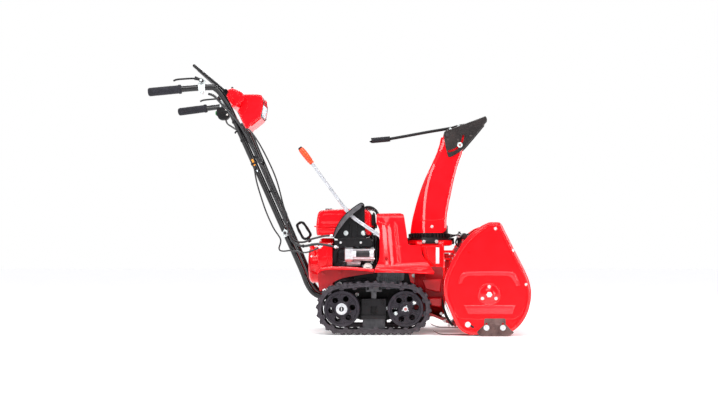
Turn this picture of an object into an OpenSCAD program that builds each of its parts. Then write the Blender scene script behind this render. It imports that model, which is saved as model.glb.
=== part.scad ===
// Tracked walk-behind snow blower: two rubber tracks, a petrol engine, a two-stage
// auger and blower with a turning chute, and a pair of long handlebars.
// X points forwards to the auger, Y to the machine's left, Z up. Millimetres.

/* [Tracks] */
// Height of the wheel axles above the ground
axle_z = 102; // [100:1:104]
// Position of the rear drive axle along the machine
rear_x = 8; // [4:1:12]
// Position of the front idler axle along the machine
front_x = 256; // [252:1:258]
// Width of each rubber track
track_w = 98; // [80:1:98]
// Inner face of each track, from the centre plane
track_in = 148; // [148:1:152]

/* [Auger and blower] */
// Half of the clearing width, to the inside of the side plates
half_w = 299; // [290:1:302]
// Height of the auger shaft
auger_z = 160; // [158:1:162]
// Outer radius of the auger ribbons
auger_r = 134; // [120:1:136]
// Height of the blower shaft
blower_z = 203; // [202:1:205]
// Outer radius of the blower blades
blower_r = 127; // [110:1:129]

/* [Chute] */
// Position of the chute's turning axis
chute_x = 355; // [352:1:358]
// Radius of the toothed chute ring
ring_r = 87; // [80:1:88]
// Number of teeth on the chute ring
ring_teeth = 36; // [24:1:48]

/* [Handlebars] */
// Radius of the handlebar tube
tube_r = 12; // [10:0.5:13]
// Radius of the rubber grips
grip_r = 16; // [15:0.5:18]

/* [Hidden] */
$fn = 48;
gap = 0.3;
auger_x = 577;
shaft_r = 12;
imp_shaft_r = 10;
fit_c = 0.06;
crank_z = 287;

// ---------- helpers ----------
module xz(y0, y1) { translate([0, y1, 0]) rotate([90, 0, 0]) linear_extrude(y1 - y0) children(); }
module ycyl(x, z, r, y0, y1) { translate([x, y1, z]) rotate([90, 0, 0]) cylinder(r = r, h = y1 - y0); }
module xcyl(y, z, r, x0, x1) { translate([x0, y, z]) rotate([0, 90, 0]) cylinder(r = r, h = x1 - x0); }
module zcyl(x, y, r, z0, z1) { translate([x, y, z0]) cylinder(r = r, h = z1 - z0); }
module box(a, b) { translate(a) cube(b - a); }
module both() { children(); mirror([0, 1, 0]) children(); }
module rod(a, b, r) {
  d = b - a; l = norm(d);
  translate(a) rotate([0, acos(d[2] / l), atan2(d[1], d[0])]) cylinder(r = r, h = l);
}
function unit(v) = v / norm(v);
function tangent(p, i) = i == 0 ? unit(p[1] - p[0]) : i == len(p) - 1 ? unit(p[i] - p[i - 1])
  : unit(unit(p[i + 1] - p[i]) + unit(p[i] - p[i - 1]));
// Catmull-Rom curve through hand-placed points, k steps a span
function curve(p, k) = concat([for (i = [0 : len(p) - 2]) for (j = [0 : k - 1])
  let (t = j / k, a = p[max(i - 1, 0)], b = p[i], c = p[i + 1], d = p[min(i + 2, len(p) - 1)])
  0.5 * (2 * b + (c - a) * t + (2 * a - 5 * b + 4 * c - d) * t * t + (3 * b - a - 3 * c + d) * t * t * t)],
  [p[len(p) - 1]]);
module sweep(p, r, n = 8) {
  m = len(p);
  pts = [for (i = [0 : m - 1]) let (t = tangent(p, i), u = unit(cross(t, [0, 1, 0])), v = cross(t, u))
    for (j = [0 : n - 1]) p[i] + r * (cos(360 * j / n) * u + sin(360 * j / n) * v)];
  faces = concat([[for (j = [0 : n - 1]) j]],
    [for (i = [0 : m - 2]) for (j = [0 : n - 1]) let (k = (j + 1) % n)
      [i * n + j, (i + 1) * n + j, (i + 1) * n + k, i * n + k]],
    [[for (j = [n - 1 : -1 : 0]) (m - 1) * n + j]]);
  polyhedron(points = pts, faces = faces);
}
module bolt(x, z, y, s, r = 8, h = 6) { // hexagon head on a side face, s = -1 right, 1 left
  translate([x, y, z]) rotate([s > 0 ? -90 : 90, 0, 0]) { cylinder(r = r * 1.35, h = 1.6); cylinder(r = r, h = h, $fn = 6); }
}

// ---------- tracks ----------
belt_out = 93; belt_in = 85; lug_h = 9; drive_lug = 13;
n_lug = 36;
span = front_x - rear_x;
// Track centreline: bottom run, front wheel, top run raised by the upper guide, rear wheel
function top_rise(x) = 7 * sin(180 * (x - rear_x) / span);
track_len = 2 * span + 2 * 180 * 89 * PI / 180;
function track_at(s) = let (a = 89 * PI, t = s % track_len)
  t < span ? [rear_x + t, axle_z, -90] :
  t < span + a ? [front_x, axle_z, -90 + 180 * (t - span) / a] :
  t < 2 * span + a ? [front_x - (t - span - a), axle_z + top_rise(front_x - (t - span - a)), 90] :
  [rear_x, axle_z, 90 + 180 * (t - 2 * span - a) / a];
module belt_outline(r, rise = 0) {
  hull() { translate([rear_x, axle_z]) circle(r, $fn = 72); translate([front_x, axle_z]) circle(r, $fn = 72); }
  if (rise > 0) polygon([for (i = [0 : 16]) [rear_x + span * i / 16, axle_z + r - 3 + (3 + rise) * sin(180 * i / 16)]]);
}
module track_belt() {
  color([0.16, 0.16, 0.17]) difference() {
    union() {
      xz(-track_in - track_w, -track_in) difference() {
        union() {
          belt_outline(belt_out, 7);
          for (i = [0 : n_lug - 1]) let (q = track_at(i * track_len / n_lug))
            translate([q[0], q[1]]) rotate(q[2]) translate([belt_out - 4, -6]) polygon([[0, -2], [lug_h + 4, 1.5], [lug_h + 4, 10.5], [0, 14]]);
        }
        belt_outline(belt_in, 7);
      }
      for (i = [0 : n_lug / 2 - 1]) let (q = track_at((2 * i + 0.5) * track_len / n_lug))
        xz(-track_in - track_w + 4, -track_in - track_w + 22) translate([q[0], q[1]]) rotate(q[2])
          polygon([[belt_in + 4, -13], [belt_in - drive_lug, -7], [belt_in - drive_lug, 7], [belt_in + 4, 13]]);
      for (i = [0 : n_lug / 2 - 1]) let (q = track_at((2 * i + 0.5) * track_len / n_lug))
        xz(-track_in - 22, -track_in - 4) translate([q[0], q[1]]) rotate(q[2])
          polygon([[belt_in + 4, -13], [belt_in - drive_lug, -7], [belt_in - drive_lug, 7], [belt_in + 4, 13]]);
    }
  }
}
module wheel(x, hub_r, bore_r) {
  o = -track_in - track_w;
  color([0.2, 0.19, 0.21]) difference() {
    union() {
      ycyl(x, axle_z, 70, o + 3, o + 11);
      ycyl(x, axle_z, 62, o + 10, -track_in - 10);
      ycyl(x, axle_z, 70, -track_in - 11, -track_in - 3);
      ycyl(x, axle_z, hub_r, o - 3, -track_in - 1);
    }
    difference() { ycyl(x, axle_z, 55, o + 11, -track_in - 11); ycyl(x, axle_z, 26, o + 10, -track_in - 10); }
    for (a = [0 : 60 : 300]) ycyl(x + 41.5 * cos(a + 8), axle_z + 41.5 * sin(a + 8), 11.5, o - 1, -track_in + 1);
    ycyl(x, axle_z, bore_r, o - 10, -track_in + 10);
  }
}
module track_frames() { both() track_frame(); }
module track_frame() {
  color([0.1, 0.1, 0.11]) difference() {
    union() {
      xz(-track_in + 1, -track_in + 6) hull() {
        translate([rear_x, axle_z]) circle(24); translate([front_x, axle_z]) circle(22);
        translate([132, 96]) square([110, 84], center = true);
      }
      // box beam inside the track, between the wheels
      box([rear_x + 76, -track_in - 70, 62], [front_x - 76, -track_in + 1.5, 140]);
      box([rear_x + 76, -track_in - 82, 62], [front_x - 76, -track_in - 68, 76]);
      // tube round the half shaft, on which the chassis tilts
      ycyl(rear_x, axle_z, 18, -track_in + 2, -80);
    }
    ycyl(rear_x, axle_z, 12 + fit_c, -track_in - 1, -70);
    ycyl(front_x, axle_z, 10 + fit_c, -track_in - 1, -track_in + 8);
    box([122, -track_in - 80, 84], [142, -track_in - 60, 108]);
  }
}
module track_guides() {
  color([0.35, 0.35, 0.36]) both() {
    // lower slide shoe, upper slide shoe on its post, tension screw with its spring seat
    box([rear_x + 80, -track_in - 60, 17.3], [front_x - 80, -track_in - 38, 61.7]);
    box([100, -track_in - 60, 168], [164, -track_in - 38, 192.6]);
    box([122, -track_in - 58, 140.3], [142, -track_in - 40, 168.5]);
  }
}
module front_axle() {
  color([0.72, 0.72, 0.74]) {
    ycyl(front_x, axle_z, 10, -track_in - track_w - 3, track_in + track_w + 3);
    both() {
      ycyl(front_x, axle_z, 14, -track_in - track_w - 7, -track_in - track_w - 3.3);
      ycyl(front_x, axle_z, 10, -track_in - track_w - 8, -track_in - track_w - 2);
    }
  }
}
// keyed in the wheel, turns in the frame lugs and the track frame
module half_shaft() {
  color([0.72, 0.72, 0.74]) {
    ycyl(rear_x, axle_z, 12, -track_in - track_w - 4, -45);
    ycyl(rear_x, axle_z, 18, -track_in - track_w - 10, -track_in - track_w - 3.3);
    ycyl(rear_x, axle_z, 20, -49, -41);
  }
}

// ---------- chassis ----------
module main_frame() {
  color([0.12, 0.12, 0.13]) difference() {
    union() {
      both() {
        box([-64, -98, 132], [288, -93, 176]);
        box([-64, -98, 132], [288, -74, 137]);
        // socket that holds the foot of the handlebar
        box([-62, -128, 129], [-20, -97.5, 162]);
      }
      box([-64, -96, 132], [-58, 96, 174]);
      box([-38, -96, 172], [150, 96, 176.5]);
      box([282, -96, 132], [288, 96, 176]);
      // post that carries the blower housing
      box([282, -60, 132], [289.4, 60, 190]);
    }
    both() xcyl(-112, 145.5, tube_r + gap, -70, -10);
  }
}
module transmission_case() {
  color([0.45, 0.46, 0.48]) union() {
    union() {
      box([152, -95, 177.2], [226, 95, 222]);
      xcyl(-62, 200, 26, 152, 232);
      for (y = [-90 : 12 : 90]) box([156, y - 2, 220], [222, y + 2, 230]);
      xcyl(57, 196, 16, 225, 232);
      xcyl(57, 196, 8, 230, 257);
      difference() { xcyl(57, 196, 36, 234, 254); rotate_extrude_groove(57, 196, 244, 36, 9); }
      both() box([160, -132, 190], [220, -94, 232]);
      // chain case down to the half shafts
      xz(-26, 26) hull() { translate([rear_x, axle_z]) circle(28); translate([176, 151]) circle(20); }
      box([158, -26, 148], [194, 26, 178]);
      ycyl(rear_x, axle_z, 12, -40, 40);
    }
  }
}
module engine_block() {
  color([0.25, 0.25, 0.27]) difference() {
    union() {
      box([-30, -84, 183], [112, 84, 372]);
      box([-36, -92, 177], [118, 92, 186]);
      xcyl(0, crank_z, 70, 100, 124);
      xcyl(0, crank_z, 80, -38, -20);
      // dipstick boss
      rod(oil_at - 46 * oil_dir, oil_at, 15);
    }
    xcyl(0, crank_z, 14 + fit_c, 60, 130);
    rod(oil_at - 20 * oil_dir, oil_at + 5 * oil_dir, 8 + fit_c);
  }
}
module cylinder_head() {
  color([0.5, 0.5, 0.52]) difference() {
    translate([38, 85, 304]) rotate([-78, 0, 0]) union() {
      cylinder(r = 36, h = 70);
      for (i = [0 : 5]) translate([-54, -48, 6 + 10 * i]) cube([108, 92, 4]);
      translate([-46, -40, 62]) cube([92, 78, 16]);
      cylinder(r = 9, h = 90);
    }
    box([-60, -20, 200], [140, 84.3, 400]);
  }
}
module fan_cover() {
  color([0.9, 0.05, 0.07]) difference() {
    union() {
      xcyl(0, crank_z - 8, 104, -96, -39);
      box([-96, -104, 262], [-39, 104, 362]);
    }
    xcyl(0, crank_z - 8, 98, -92, -38);
    box([-92, -98, 264], [-38, 98, 356]);
    xcyl(0, crank_z - 8, 50, -98, -90);
  }
}
module recoil_starter() {
  color([0.88, 0.06, 0.08]) difference() {
    union() {
      xcyl(0, crank_z - 12, 76, -136, -96.3);
      xcyl(0, crank_z - 12, 60, -139, -130);
      // rope outlet
      rod([-116, -60, 322], [-128.2, -65.3, 359.6], 10);
    }
    xcyl(0, crank_z - 12, 71, -132, -96);
    rod([-112, -58, 318], [-129.9, -66, 365], 3.5);
    for (a = [0 : 30 : 330]) translate([-137, 0, crank_z - 12]) rotate([a, 0, 0]) box([-6, -5, 30], [12, 5, 52]);
  }
}
module tank_profile(d = 0) {
  polygon([[-102 + d, 389 + d], [-104 + d, 430], [-96 + d, 484 - d], [-84, 492 - d], [-24, 497 - d], [76, 498 - d],
    [112 - d, 490 - d], [120 - d, 470], [121 - d, 389 + d]]);
}
module fuel_tank() {
  color([0.93, 0.07, 0.1]) difference() {
    union() {
      xz(-118, 118) tank_profile();
      box([-110, -124, 424], [127, 124, 430]);
    }
    box([-96, -112, 396], [114, 112, 482]);
    zcyl(8, 30, 24 + gap, 470, 510);
    zcyl(8, 30, 33, 488, 510);
  }
}
module fuel_cap() {
  color([0.12, 0.12, 0.13]) difference() {
    union() { zcyl(8, 30, 23.7, 474, 489); zcyl(8, 30, 31, 488.4, 503); }
    for (a = [0 : 30 : 330]) translate([8, 30, 0]) rotate(a) translate([33, 0, 488]) cylinder(r = 4, h = 20);
  }
}
module muffler() {
  color([0.3, 0.3, 0.31]) difference() {
    union() {
      box([-6, 126, 372], [114, 196, 470]);
      rod([54, 88, 379.5], [54, 140, 384], 6.5);
      xcyl(170, 440, 12, 100, 134);
    }
    for (i = [0 : 5]) box([8 + 16 * i, 190, 386], [14 + 16 * i, 200, 456]);
  }
}
module carburettor() {
  color([0.55, 0.56, 0.58]) {
    box([16, -122, 352], [84, -84.3, 384]);
    ycyl(50, 366, 14, -128, -100);
    zcyl(66, -104, 14, 344.5, 354);
  }
}
module starter_motor() {
  color([0.82, 0.83, 0.84]) {
    xcyl(-116, 315, 27, 46, 126);
    xcyl(-116, 315, 29, 118, 130);
    box([14, -146, 284], [46, -86, 344]);
    xcyl(-104, 280, 12, 20, 76);
  }
}
oil_at = [104, -112, 262];
oil_dir = unit([8, -42, 16]);
module oil_cap() {
  color([0.9, 0.9, 0.88]) {
    rod(oil_at - 18 * oil_dir, oil_at + 1 * oil_dir, 8);
    rod(oil_at + 0.4 * oil_dir, oil_at + 10 * oil_dir, 18);
    rod(oil_at + 9 * oil_dir, oil_at + 16 * oil_dir, 7);
  }
}
gate_pts = [[83, 521], [92, 509], [92, 421], [101, 382], [-16, 376], [-30, 381], [-33, 388], [-22, 415], [0, 454], [29, 485], [57, 507]];
module gate_profile() { polygon(gate_pts); }
module lever_gate() {
  color([0.11, 0.11, 0.12]) difference() {
    union() {
      xz(-131, -128) gate_profile();
      // curved quadrant with the lever slot
      difference() {
        xz(-168, -128) difference() { gate_profile(); polygon([[96, 372], [-12, 372], [-27, 386], [-15, 412], [6, 450], [34, 480], [62, 501], [78, 512], [96, 500]]); }
        box([-16, -150, 405], [68, -132, 530]);
      }
      for (x = [36, 62]) box([x - 3, -133.2, 384], [x + 3, -130, 440]);
      // tray under the gate, over the starter motor
      box([-8, -150, 372], [124, -128, 378]);
      box([-8, -150, 346], [124, -146, 378]);
      box([-8, -132, 346], [124, -128.3, 378]);
    }
    xcyl(-139, 380, 9, 90, 130);
  }
}
cover_pts = [[140, 474], [241, 478], [249, 471], [254, 439], [261, 404], [264, 354], [292, 352], [317, 349], [319, 318], [341, 286], [372, 240], [334, 235], [138, 261], [153, 297], [153, 421], [140, 443]];
module cover_section(d) { offset(delta = -d) polygon(cover_pts); }
module belt_cover() {
  color([0.95, 0.07, 0.1]) difference() {
    union() {
      xz(-150, 150) cover_section(0);
      // flared ledge over each track
      both() xz(-196, -149) polygon([[130, 262], [300, 250], [372, 243], [372, 240], [334, 234], [130, 256]]);
    }
    xz(-147, 147) cover_section(3);
    // open towards the engine and underneath
    box([120, -147, 250], [156, 147, 470]);
    box([150, -147, 220], [380, 147, 262]);
    // clears the blower housing, its tower and the chute ring
    xcyl(0, blower_z, 146, 288, 400);
    box([293, -91, 200], [400, 91, 380]);
    zcyl(chute_x, 0, 104.5, 340, 420);
  }
}
module fenders() {
  color([0.92, 0.07, 0.1]) both() {
    xz(-136, -133) polygon([[-88, 262], [-92, 200], [-84, 166], [-60, 178], [-24, 206], [20, 222], [129, 240], [129, 258], [40, 262]]);
    xz(-192, -135.5) polygon([[-86, 262], [-70, 268], [40, 266], [129, 259], [129, 255.5], [40, 262], [-70, 264], [-92, 252], [-95, 254]]);
  }
}
module battery() {
  color([0.1, 0.1, 0.11]) {
    box([-28, 93, 182], [92, 131.5, 186.7]);
  }
  color([0.14, 0.14, 0.16]) {
    box([-24, 95, 187], [88, 131, 236]);
    box([-16, 106, 235.5], [4, 122, 246]);
    box([60, 106, 235.5], [80, 122, 246]);
  }
}

// ---------- auger housing ----------
outline = [[577, 432], [613, 432], [623, 427], [629, 415], [672, 333], [714, 251], [731, 213], [737, 164], [733, 122], [720, 80],
  [694, 42], [670, 21], [640, 9], [600, 6], [520, 6], [500, 7], [475, 18], [454, 39], [437, 73], [420, 114], [408, 145], [403, 179],
  [406, 213], [420, 254], [441, 298], [468, 343], [502, 381], [536, 408], [562, 425]];
module outline2d(d) { offset(delta = d) polygon(outline); }
module auger_housing() {
  color([0.93, 0.05, 0.08]) difference() {
    union() {
      xz(-half_w, half_w) difference() {
        outline2d(0);
        outline2d(-2.5);
        polygon([[614, 500], [900, 500], [900, -50], [598, -50], [598, 60], [620, 300]]);
      }
      // stiffening lip along the top front edge
      box([600, -half_w, 420], [613, half_w, 430]);
    }
    xcyl(0, blower_z, 134, 380, 470);
  }
}
module side_plate() {
  color([0.97, 0.07, 0.1]) difference() {
    union() {
      xz(-half_w - gap - 3, -half_w - gap) polygon(outline);
      ycyl(auger_x, auger_z, 43, -half_w - gap - 5, -half_w - 1);
    }
    ycyl(auger_x, auger_z, shaft_r + fit_c, -half_w - 10, -half_w + 10);
    ycyl(499, 321, 4, -half_w - 10, -half_w + 10);
  }
}
module skid_shoes() {
  color([0.42, 0.38, 0.37]) both() difference() {
    union() {
      xz(-half_w - gap - 9.5, -half_w - gap - 5.3) polygon([[558, 64], [639, 64], [640, 45], [668, 15], [650, 0], [552, 0], [532, 18], [556, 41]]);
      xz(-half_w - gap - 15, -half_w - gap - 5.3) polygon([[532, 18], [552, 0], [650, 0], [668, 15], [665, 19], [648, 4], [553, 4], [535, 21]]);
    }
    for (x = [566, 629]) box([x - 4.5, -half_w - 20, 22], [x + 4.5, -half_w, 54]);
  }
}
module scraper_blade() {
  color([0.3, 0.3, 0.31]) {
    box([520, -296, 0.5], [612, 296, 5.2]);
    both() xz(-246, -216) polygon([[364, 18], [368, 14], [392, 3], [420, 0], [519, 0], [519, 3], [420, 3], [394, 6], [371, 17], [366, 20]]);
    both() xz(-246, -216) polygon([[500, 2.5], [519.5, 2.5], [519.5, 5.7], [500, 5.7]]);
  }
}
module auger_gearbox() {
  color([0.2, 0.2, 0.22]) difference() {
    union() {
      ycyl(auger_x, auger_z, 42, -24, 24);
      xcyl(0, blower_z, 25, 530, 612);
      box([548, -18, 150], [606, 18, 214]);
      ycyl(auger_x, auger_z, 22, -34, 34);
    }
    ycyl(auger_x, auger_z, shaft_r + fit_c, -40, 40);
    xcyl(0, blower_z, imp_shaft_r + fit_c, 520, 566);
  }
}
module blower_housing() {
  color([0.72, 0.04, 0.06]) difference() {
    union() {
      xcyl(0, blower_z, 145, 290, 470);
      box([296, -88, 226], [412, 88, 367.5]);
      zcyl(chute_x, 0, 93, 367, 373);
      xcyl(0, blower_z, 26, 289.7, 304);
      // stay under the drum, back to the bottom of the auger housing
      xz(-120, 120) polygon([[345, 96], [350, 72], [460, 22], [470, 60], [470, 110], [400, 120]]);
    }
    xz(-310, 310) outline2d(gap);
    xcyl(0, blower_z, 141, 294, 480);
    xz(-117, 117) polygon([[349, 96], [354, 75], [480, 18], [480, 110], [400, 116]]);
    zcyl(chute_x, 0, 53, 205, 400);
    xcyl(0, blower_z, imp_shaft_r + fit_c, 280, 310);
  }
}
module chute_base() {
  color([0.08, 0.08, 0.09]) difference() {
    union() {
      // three clamps that hold the ring down
      for (a = [-90, 30, 150]) translate([chute_x, 0, 0]) rotate(a) {
        box([94, -33, 358], [98, 33, 384]);
        box([ring_r + 1.2, -33, 381.5], [98, 33, 384]);
        box([89.5, -33, 363], [95, 33, 366.7]);
      }
    }
    zcyl(chute_x, 0, ring_r + 0.9, 377, 400);
  }
  color([0.08, 0.08, 0.09]) {
    // stand for the latch, on the auger housing
    xz(4, 24) polygon([[470, 348.6], [488, 368.7], [488, 391.6], [470, 391.6]]);
    zcyl(478, 14, 3, 391, 407);
    xz(-22, 2) polygon([[470, 348.6], [486, 366.5], [486, 372], [470, 356]]);
  }
}
module chute_ring() {
  color([0.1, 0.1, 0.11]) difference() {
    union() {
      zcyl(chute_x, 0, ring_r, 373.4, 380);
      zcyl(chute_x, 0, 80, 379, 402);
      for (i = [0 : ring_teeth - 1]) translate([chute_x, 0, 0]) rotate(i * 360 / ring_teeth) box([78, -3, 384], [ring_r, 3, 400]);
      // collar that stands up inside the chute's foot
      zcyl(chute_x, 0, 68.6, 400, 429);
    }
    zcyl(chute_x, 0, 62, 370, 440);
  }
}
// chute: rear edge, ridge and front edge against height
chute_z  = [402.4, 450, 500, 560, 620, 680, 740, 790];
chute_back  = [276, 282, 294, 311, 333, 361, 390, 405];
chute_ridge = [325, 326, 327, 332, 346, 368, 394, 408];
chute_front = [422, 421, 427, 439, 452, 468, 487, 482];
chute_hw = [72, 71, 70, 69, 68, 67, 66, 66];
pivot = [424, 797];
module chute() {
  color([0.95, 0.07, 0.1]) union() {
    n = len(chute_z);
    t = 2.5;
    // each level is a ring of a U-shaped channel: outside round, then inside back
    pts = [for (i = [0 : n - 1]) each [
      [chute_front[i], -chute_hw[i], chute_z[i]], [chute_ridge[i], -chute_hw[i], chute_z[i]], [chute_back[i], -26, chute_z[i]],
      [chute_back[i], 26, chute_z[i]], [chute_ridge[i], chute_hw[i], chute_z[i]], [chute_front[i], chute_hw[i], chute_z[i]],
      [chute_front[i], chute_hw[i] - t, chute_z[i]], [chute_ridge[i] + 1, chute_hw[i] - t, chute_z[i]], [chute_back[i] + t, 25, chute_z[i]],
      [chute_back[i] + t, -25, chute_z[i]], [chute_ridge[i] + 1, -chute_hw[i] + t, chute_z[i]], [chute_front[i], -chute_hw[i] + t, chute_z[i]]]];
    quads = [[0, 1, 10, 11], [1, 2, 9, 10], [2, 3, 8, 9], [3, 4, 7, 8], [4, 5, 6, 7]];
    faces = concat([for (q = quads) [for (j = [3 : -1 : 0]) q[j]]], [for (q = quads) [for (j = [0 : 3]) (n - 1) * 12 + q[j]]],
      [for (i = [0 : n - 2]) for (j = [0 : 11]) let (k = (j + 1) % 12) each
        [[i * 12 + j, i * 12 + k, (i + 1) * 12 + j], [i * 12 + k, (i + 1) * 12 + k, (i + 1) * 12 + j]]]);
    polyhedron(points = pts, faces = faces);
    both() {
      // cheeks that carry the deflector, its pins and the lock bolts
      xz(-66, -63.5) polygon([[406, 788], [410, 797], [412.3, 803.8], [417.3, 808.7], [424, 810.5], [495, 811], [500, 772], [487, 740], [440, 740]]);
      ycyl(pivot[0], pivot[1], 4, -78, -60);
      ycyl(pivot[0] + 65 * cos(37), pivot[1] - 65 * sin(37), 3.5, -78, -60);
      ycyl(pivot[0] + 65 * cos(37), pivot[1] - 65 * sin(37), 9, -78, -75.4);
      ycyl(pivot[0], pivot[1], 8, -79, -75.4);
    }
  }
}
module deflector() {
  color([0.14, 0.12, 0.12]) difference() {
    union() {
      both() xz(-75, -72.5) difference() {
        polygon([[413, 811], [578, 873], [586, 853], [502, 755], [477, 732], [432, 708], [423, 729], [410, 789]]);
        difference() {
          translate(pivot) circle(69);
          translate(pivot) circle(61);
          translate(pivot) polygon([[0, 0], [100, 7], [100, 120], [-120, 120], [-120, -120], [7, -100]]);
        }
      }
      xz(-75, 75) polygon([[413, 811], [578, 873], [579, 870.5], [414, 808.5]]);
      // bracket for the handle
      xz(-16, 16) polygon([[420, 813.5], [500, 843.5], [498, 852], [440, 838], [418, 826]]);
    }
    both() ycyl(pivot[0], pivot[1], 4 + fit_c, -80, -70);
  }
}
module deflector_handle() {
  color([0.12, 0.12, 0.13]) {
    sweep([[118, 0, 784], [194, 0, 791], [330, 0, 816], [418, 0, 831]], 6, 12);
    rod([116, 0, 784], [192, 0, 791], 11);
  }
}

// ---------- rotating parts ----------
module ribbon(y0, y1, turns, start) {
  n = 36; t = 4;
  pts = [for (i = [0 : n]) let (a = start + 360 * turns * i / n, y = y0 + (y1 - y0) * i / n) each
    [for (c = [[96, -t / 2], [96, t / 2], [auger_r, t / 2], [auger_r, -t / 2]]) [auger_x + c[0] * cos(a), y + c[1], auger_z + c[0] * sin(a)]]];
  side = [for (i = [0 : n - 1]) for (j = [0 : 3]) let (k = (j + 1) % 4, p = i * 4, q = p + 4) each [[p + j, p + k, q + k], [p + j, q + k, q + j]]];
  ends = [[3, 2, 1], [3, 1, 0], [n * 4, n * 4 + 1, n * 4 + 2], [n * 4, n * 4 + 2, n * 4 + 3]];
  polyhedron(points = pts, faces = concat(ends, side));
}
module auger() {
  color([0.9, 0.08, 0.1]) {
    ycyl(auger_x, auger_z, shaft_r, -half_w - 8, half_w + 8);
    both() {
      ycyl(auger_x, auger_z, 18, -half_w + 4, -36);
      ribbon(-286, -52, 1.5, 0);
      ribbon(-286, -52, 1.5, 180);
      for (f = [0.04, 0.5, 0.96]) for (o = [0, 180]) let (y = -286 + 234 * f, a = o + 540 * f)
        translate([auger_x, y, auger_z]) rotate([0, -a, 0]) box([14, -3, -9], [104, 3, 9]);
    }
  }
}
module impeller() {
  color([0.85, 0.1, 0.12]) {
    xcyl(0, blower_z, imp_shaft_r, 256, 562);
    xcyl(0, blower_z, 24, 312, 384);
    for (a = [0 : 90 : 270]) translate([0, 0, blower_z]) rotate([a, 0, 0]) {
      box([312, -3, 20], [384, 3, blower_r]);
      box([312, -3, 92], [384, 16, 96]);
    }
    xcyl(0, blower_z, 126, 307, 311);
    difference() { xcyl(0, blower_z, 48, 260, 280); rotate_extrude_groove(0, blower_z, 270, 48, 9); }
  }
}
module rotate_extrude_groove(y, z, x, r, d) {
  translate([x, y, z]) rotate([0, 90, 0]) rotate_extrude() polygon([[r - d, -3], [r + 1, -7], [r + 1, 7], [r - d, 3]]);
}
module crank_pulley() {
  color([0.6, 0.6, 0.62]) {
    xcyl(0, crank_z, 14, 62, 282);
    difference() {
      xcyl(0, crank_z, 30, 234, 280);
      rotate_extrude_groove(0, crank_z, 270, 30, 9);
      rotate_extrude_groove(0, crank_z, 244, 30, 9);
    }
  }
}
module vbelt(y2, z2, x, r1, r2) {
  difference() {
    hull() { xcyl(0, crank_z, r1 + 8, x - 4, x + 4); xcyl(y2, z2, r2 + 8, x - 4, x + 4); }
    hull() { xcyl(0, crank_z, r1, x - 6, x + 6); xcyl(y2, z2, r2, x - 6, x + 6); }
  }
}
module drive_belts() {
  color([0.08, 0.08, 0.08]) { vbelt(0, blower_z, 270, 25, 43); vbelt(57, 196, 244, 25, 31); }
}

// ---------- handlebars and controls ----------
bar_pts = [[-734, -275, 940], [-610, -262, 954], [-505, -246, 964], [-478, -237, 957], [-458, -222, 932], [-436, -203, 890],
  [-332, -168, 651], [-226, -136, 407], [-156, -116, 247], [-136, -113, 192], [-114, -112, 162], [-84, -112, 146.5], [-56, -112, 145.5], [-24, -112, 145.5]];
bar_seg = [for (i = [0 : len(bar_pts) - 2]) [bar_pts[i], bar_pts[i + 1]]];
module handlebars() {
  color([0.1, 0.1, 0.11]) {
    both() sweep(bar_pts, tube_r, 16);
    // crossbars between the tubes
    rod([-356, -172, 706], [-356, 172, 706], 8);
    rod([-246, -140, 453], [-246, 140, 453], 8);
    // ears that hold the bail pins
    both() xz(-214, -205) polygon([[-466, 938], [-450, 962], [-441, 957], [-441, 948], [-452, 915]]);
  }
}
module handle_grips() {
  color([0.2, 0.2, 0.21]) both() difference() {
    sweep([[-737, -275.2, 939.7], [-610, -262, 954]], grip_r, 16);
    sweep([[-734.4, -275, 940], [-600, -261, 955]], tube_r + gap, 16);
  }
}
light_pts = [[-400, 962], [-332, 961], [-322, 942], [-321, 924], [-331, 872], [-374, 834], [-386, 820], [-404, 848], [-424, 896], [-418, 904], [-405, 935]];
console_pts = [[-478, 981], [-455, 977], [-432, 981], [-416, 973], [-406, 959], [-401, 941], [-414, 913], [-442, 907]];
module control_console() {
  color([0.93, 0.06, 0.1]) for (y = [48, 64]) box([-454, y, 942], [-442, y + 4, 977]);
  color([0.93, 0.06, 0.1]) difference() {
    union() {
      xz(-112, 112) polygon(console_pts);
      // brackets that reach the tubes
      both() xz(-198, -111) polygon([[-455, 935], [-443, 910], [-434, 914], [-446, 940]]);
    }
    xz(-109, 109) offset(delta = -3) polygon(console_pts);
    xz(-72.3, 72.3) offset(delta = gap) polygon(light_pts);
    // keyhole, throttle slot and the mouth towards the headlight
    zcyl(-446, -60, 9 + gap, 965, 990);
    box([-470, 54, 965], [-426, 62, 990]);
  }
}
module switch_box() {
  color([0.08, 0.08, 0.09]) difference() {
    union() {
      xz(200, 229) polygon([[-558, 945], [-552, 951], [-504, 951], [-496, 944], [-500, 915], [-514, 897], [-542, 896], [-554, 908]]);
      // strap round the left tube
      box([-518, 226, 925], [-506, 233.5, 972]);
    }
    xcyl(214, 926, 9 + gap, -562, -540);
    both() rod([-610, -262, 954], [-478, -237, 957], tube_r + gap);
  }
}
module headlight_housing() {
  color([0.95, 0.05, 0.1]) difference() {
    xz(-72, 72) polygon(light_pts);
    xz(-68, 68) polygon([[-396, 957], [-334, 957], [-327, 941], [-300, 930], [-310, 872], [-334, 872], [-374, 840], [-385, 828], [-401, 850], [-418, 894], [-402, 930]]);
    box([-340, -66, 874], [-300, 66, 940]);
  }
}
module headlight_lens() {
  color([0.9, 0.95, 1]) xz(-65.7, 65.7) polygon([[-338, 938], [-325, 938], [-321.5, 924], [-331, 876], [-342, 876]]);
}
cable_right = [[-512, -238, 940], [-488, -234, 930], [-458, -227, 898], [-426, -224, 866], [-386, -208, 811], [-331, -177, 698], [-275, -160, 567], [-222, -150, 446], [-205, -154, 394], [-187, -155, 362], [-150, -154, 348], [-90, -154, 356], [-20, -154, 344]];
cable_front = [[-386, -82, 824], [-362, -92, 804], [-318, -100, 735], [-266, -104, 624], [-234, -108, 510], [-220, -114, 474], [-220, -118, 446]];
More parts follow.
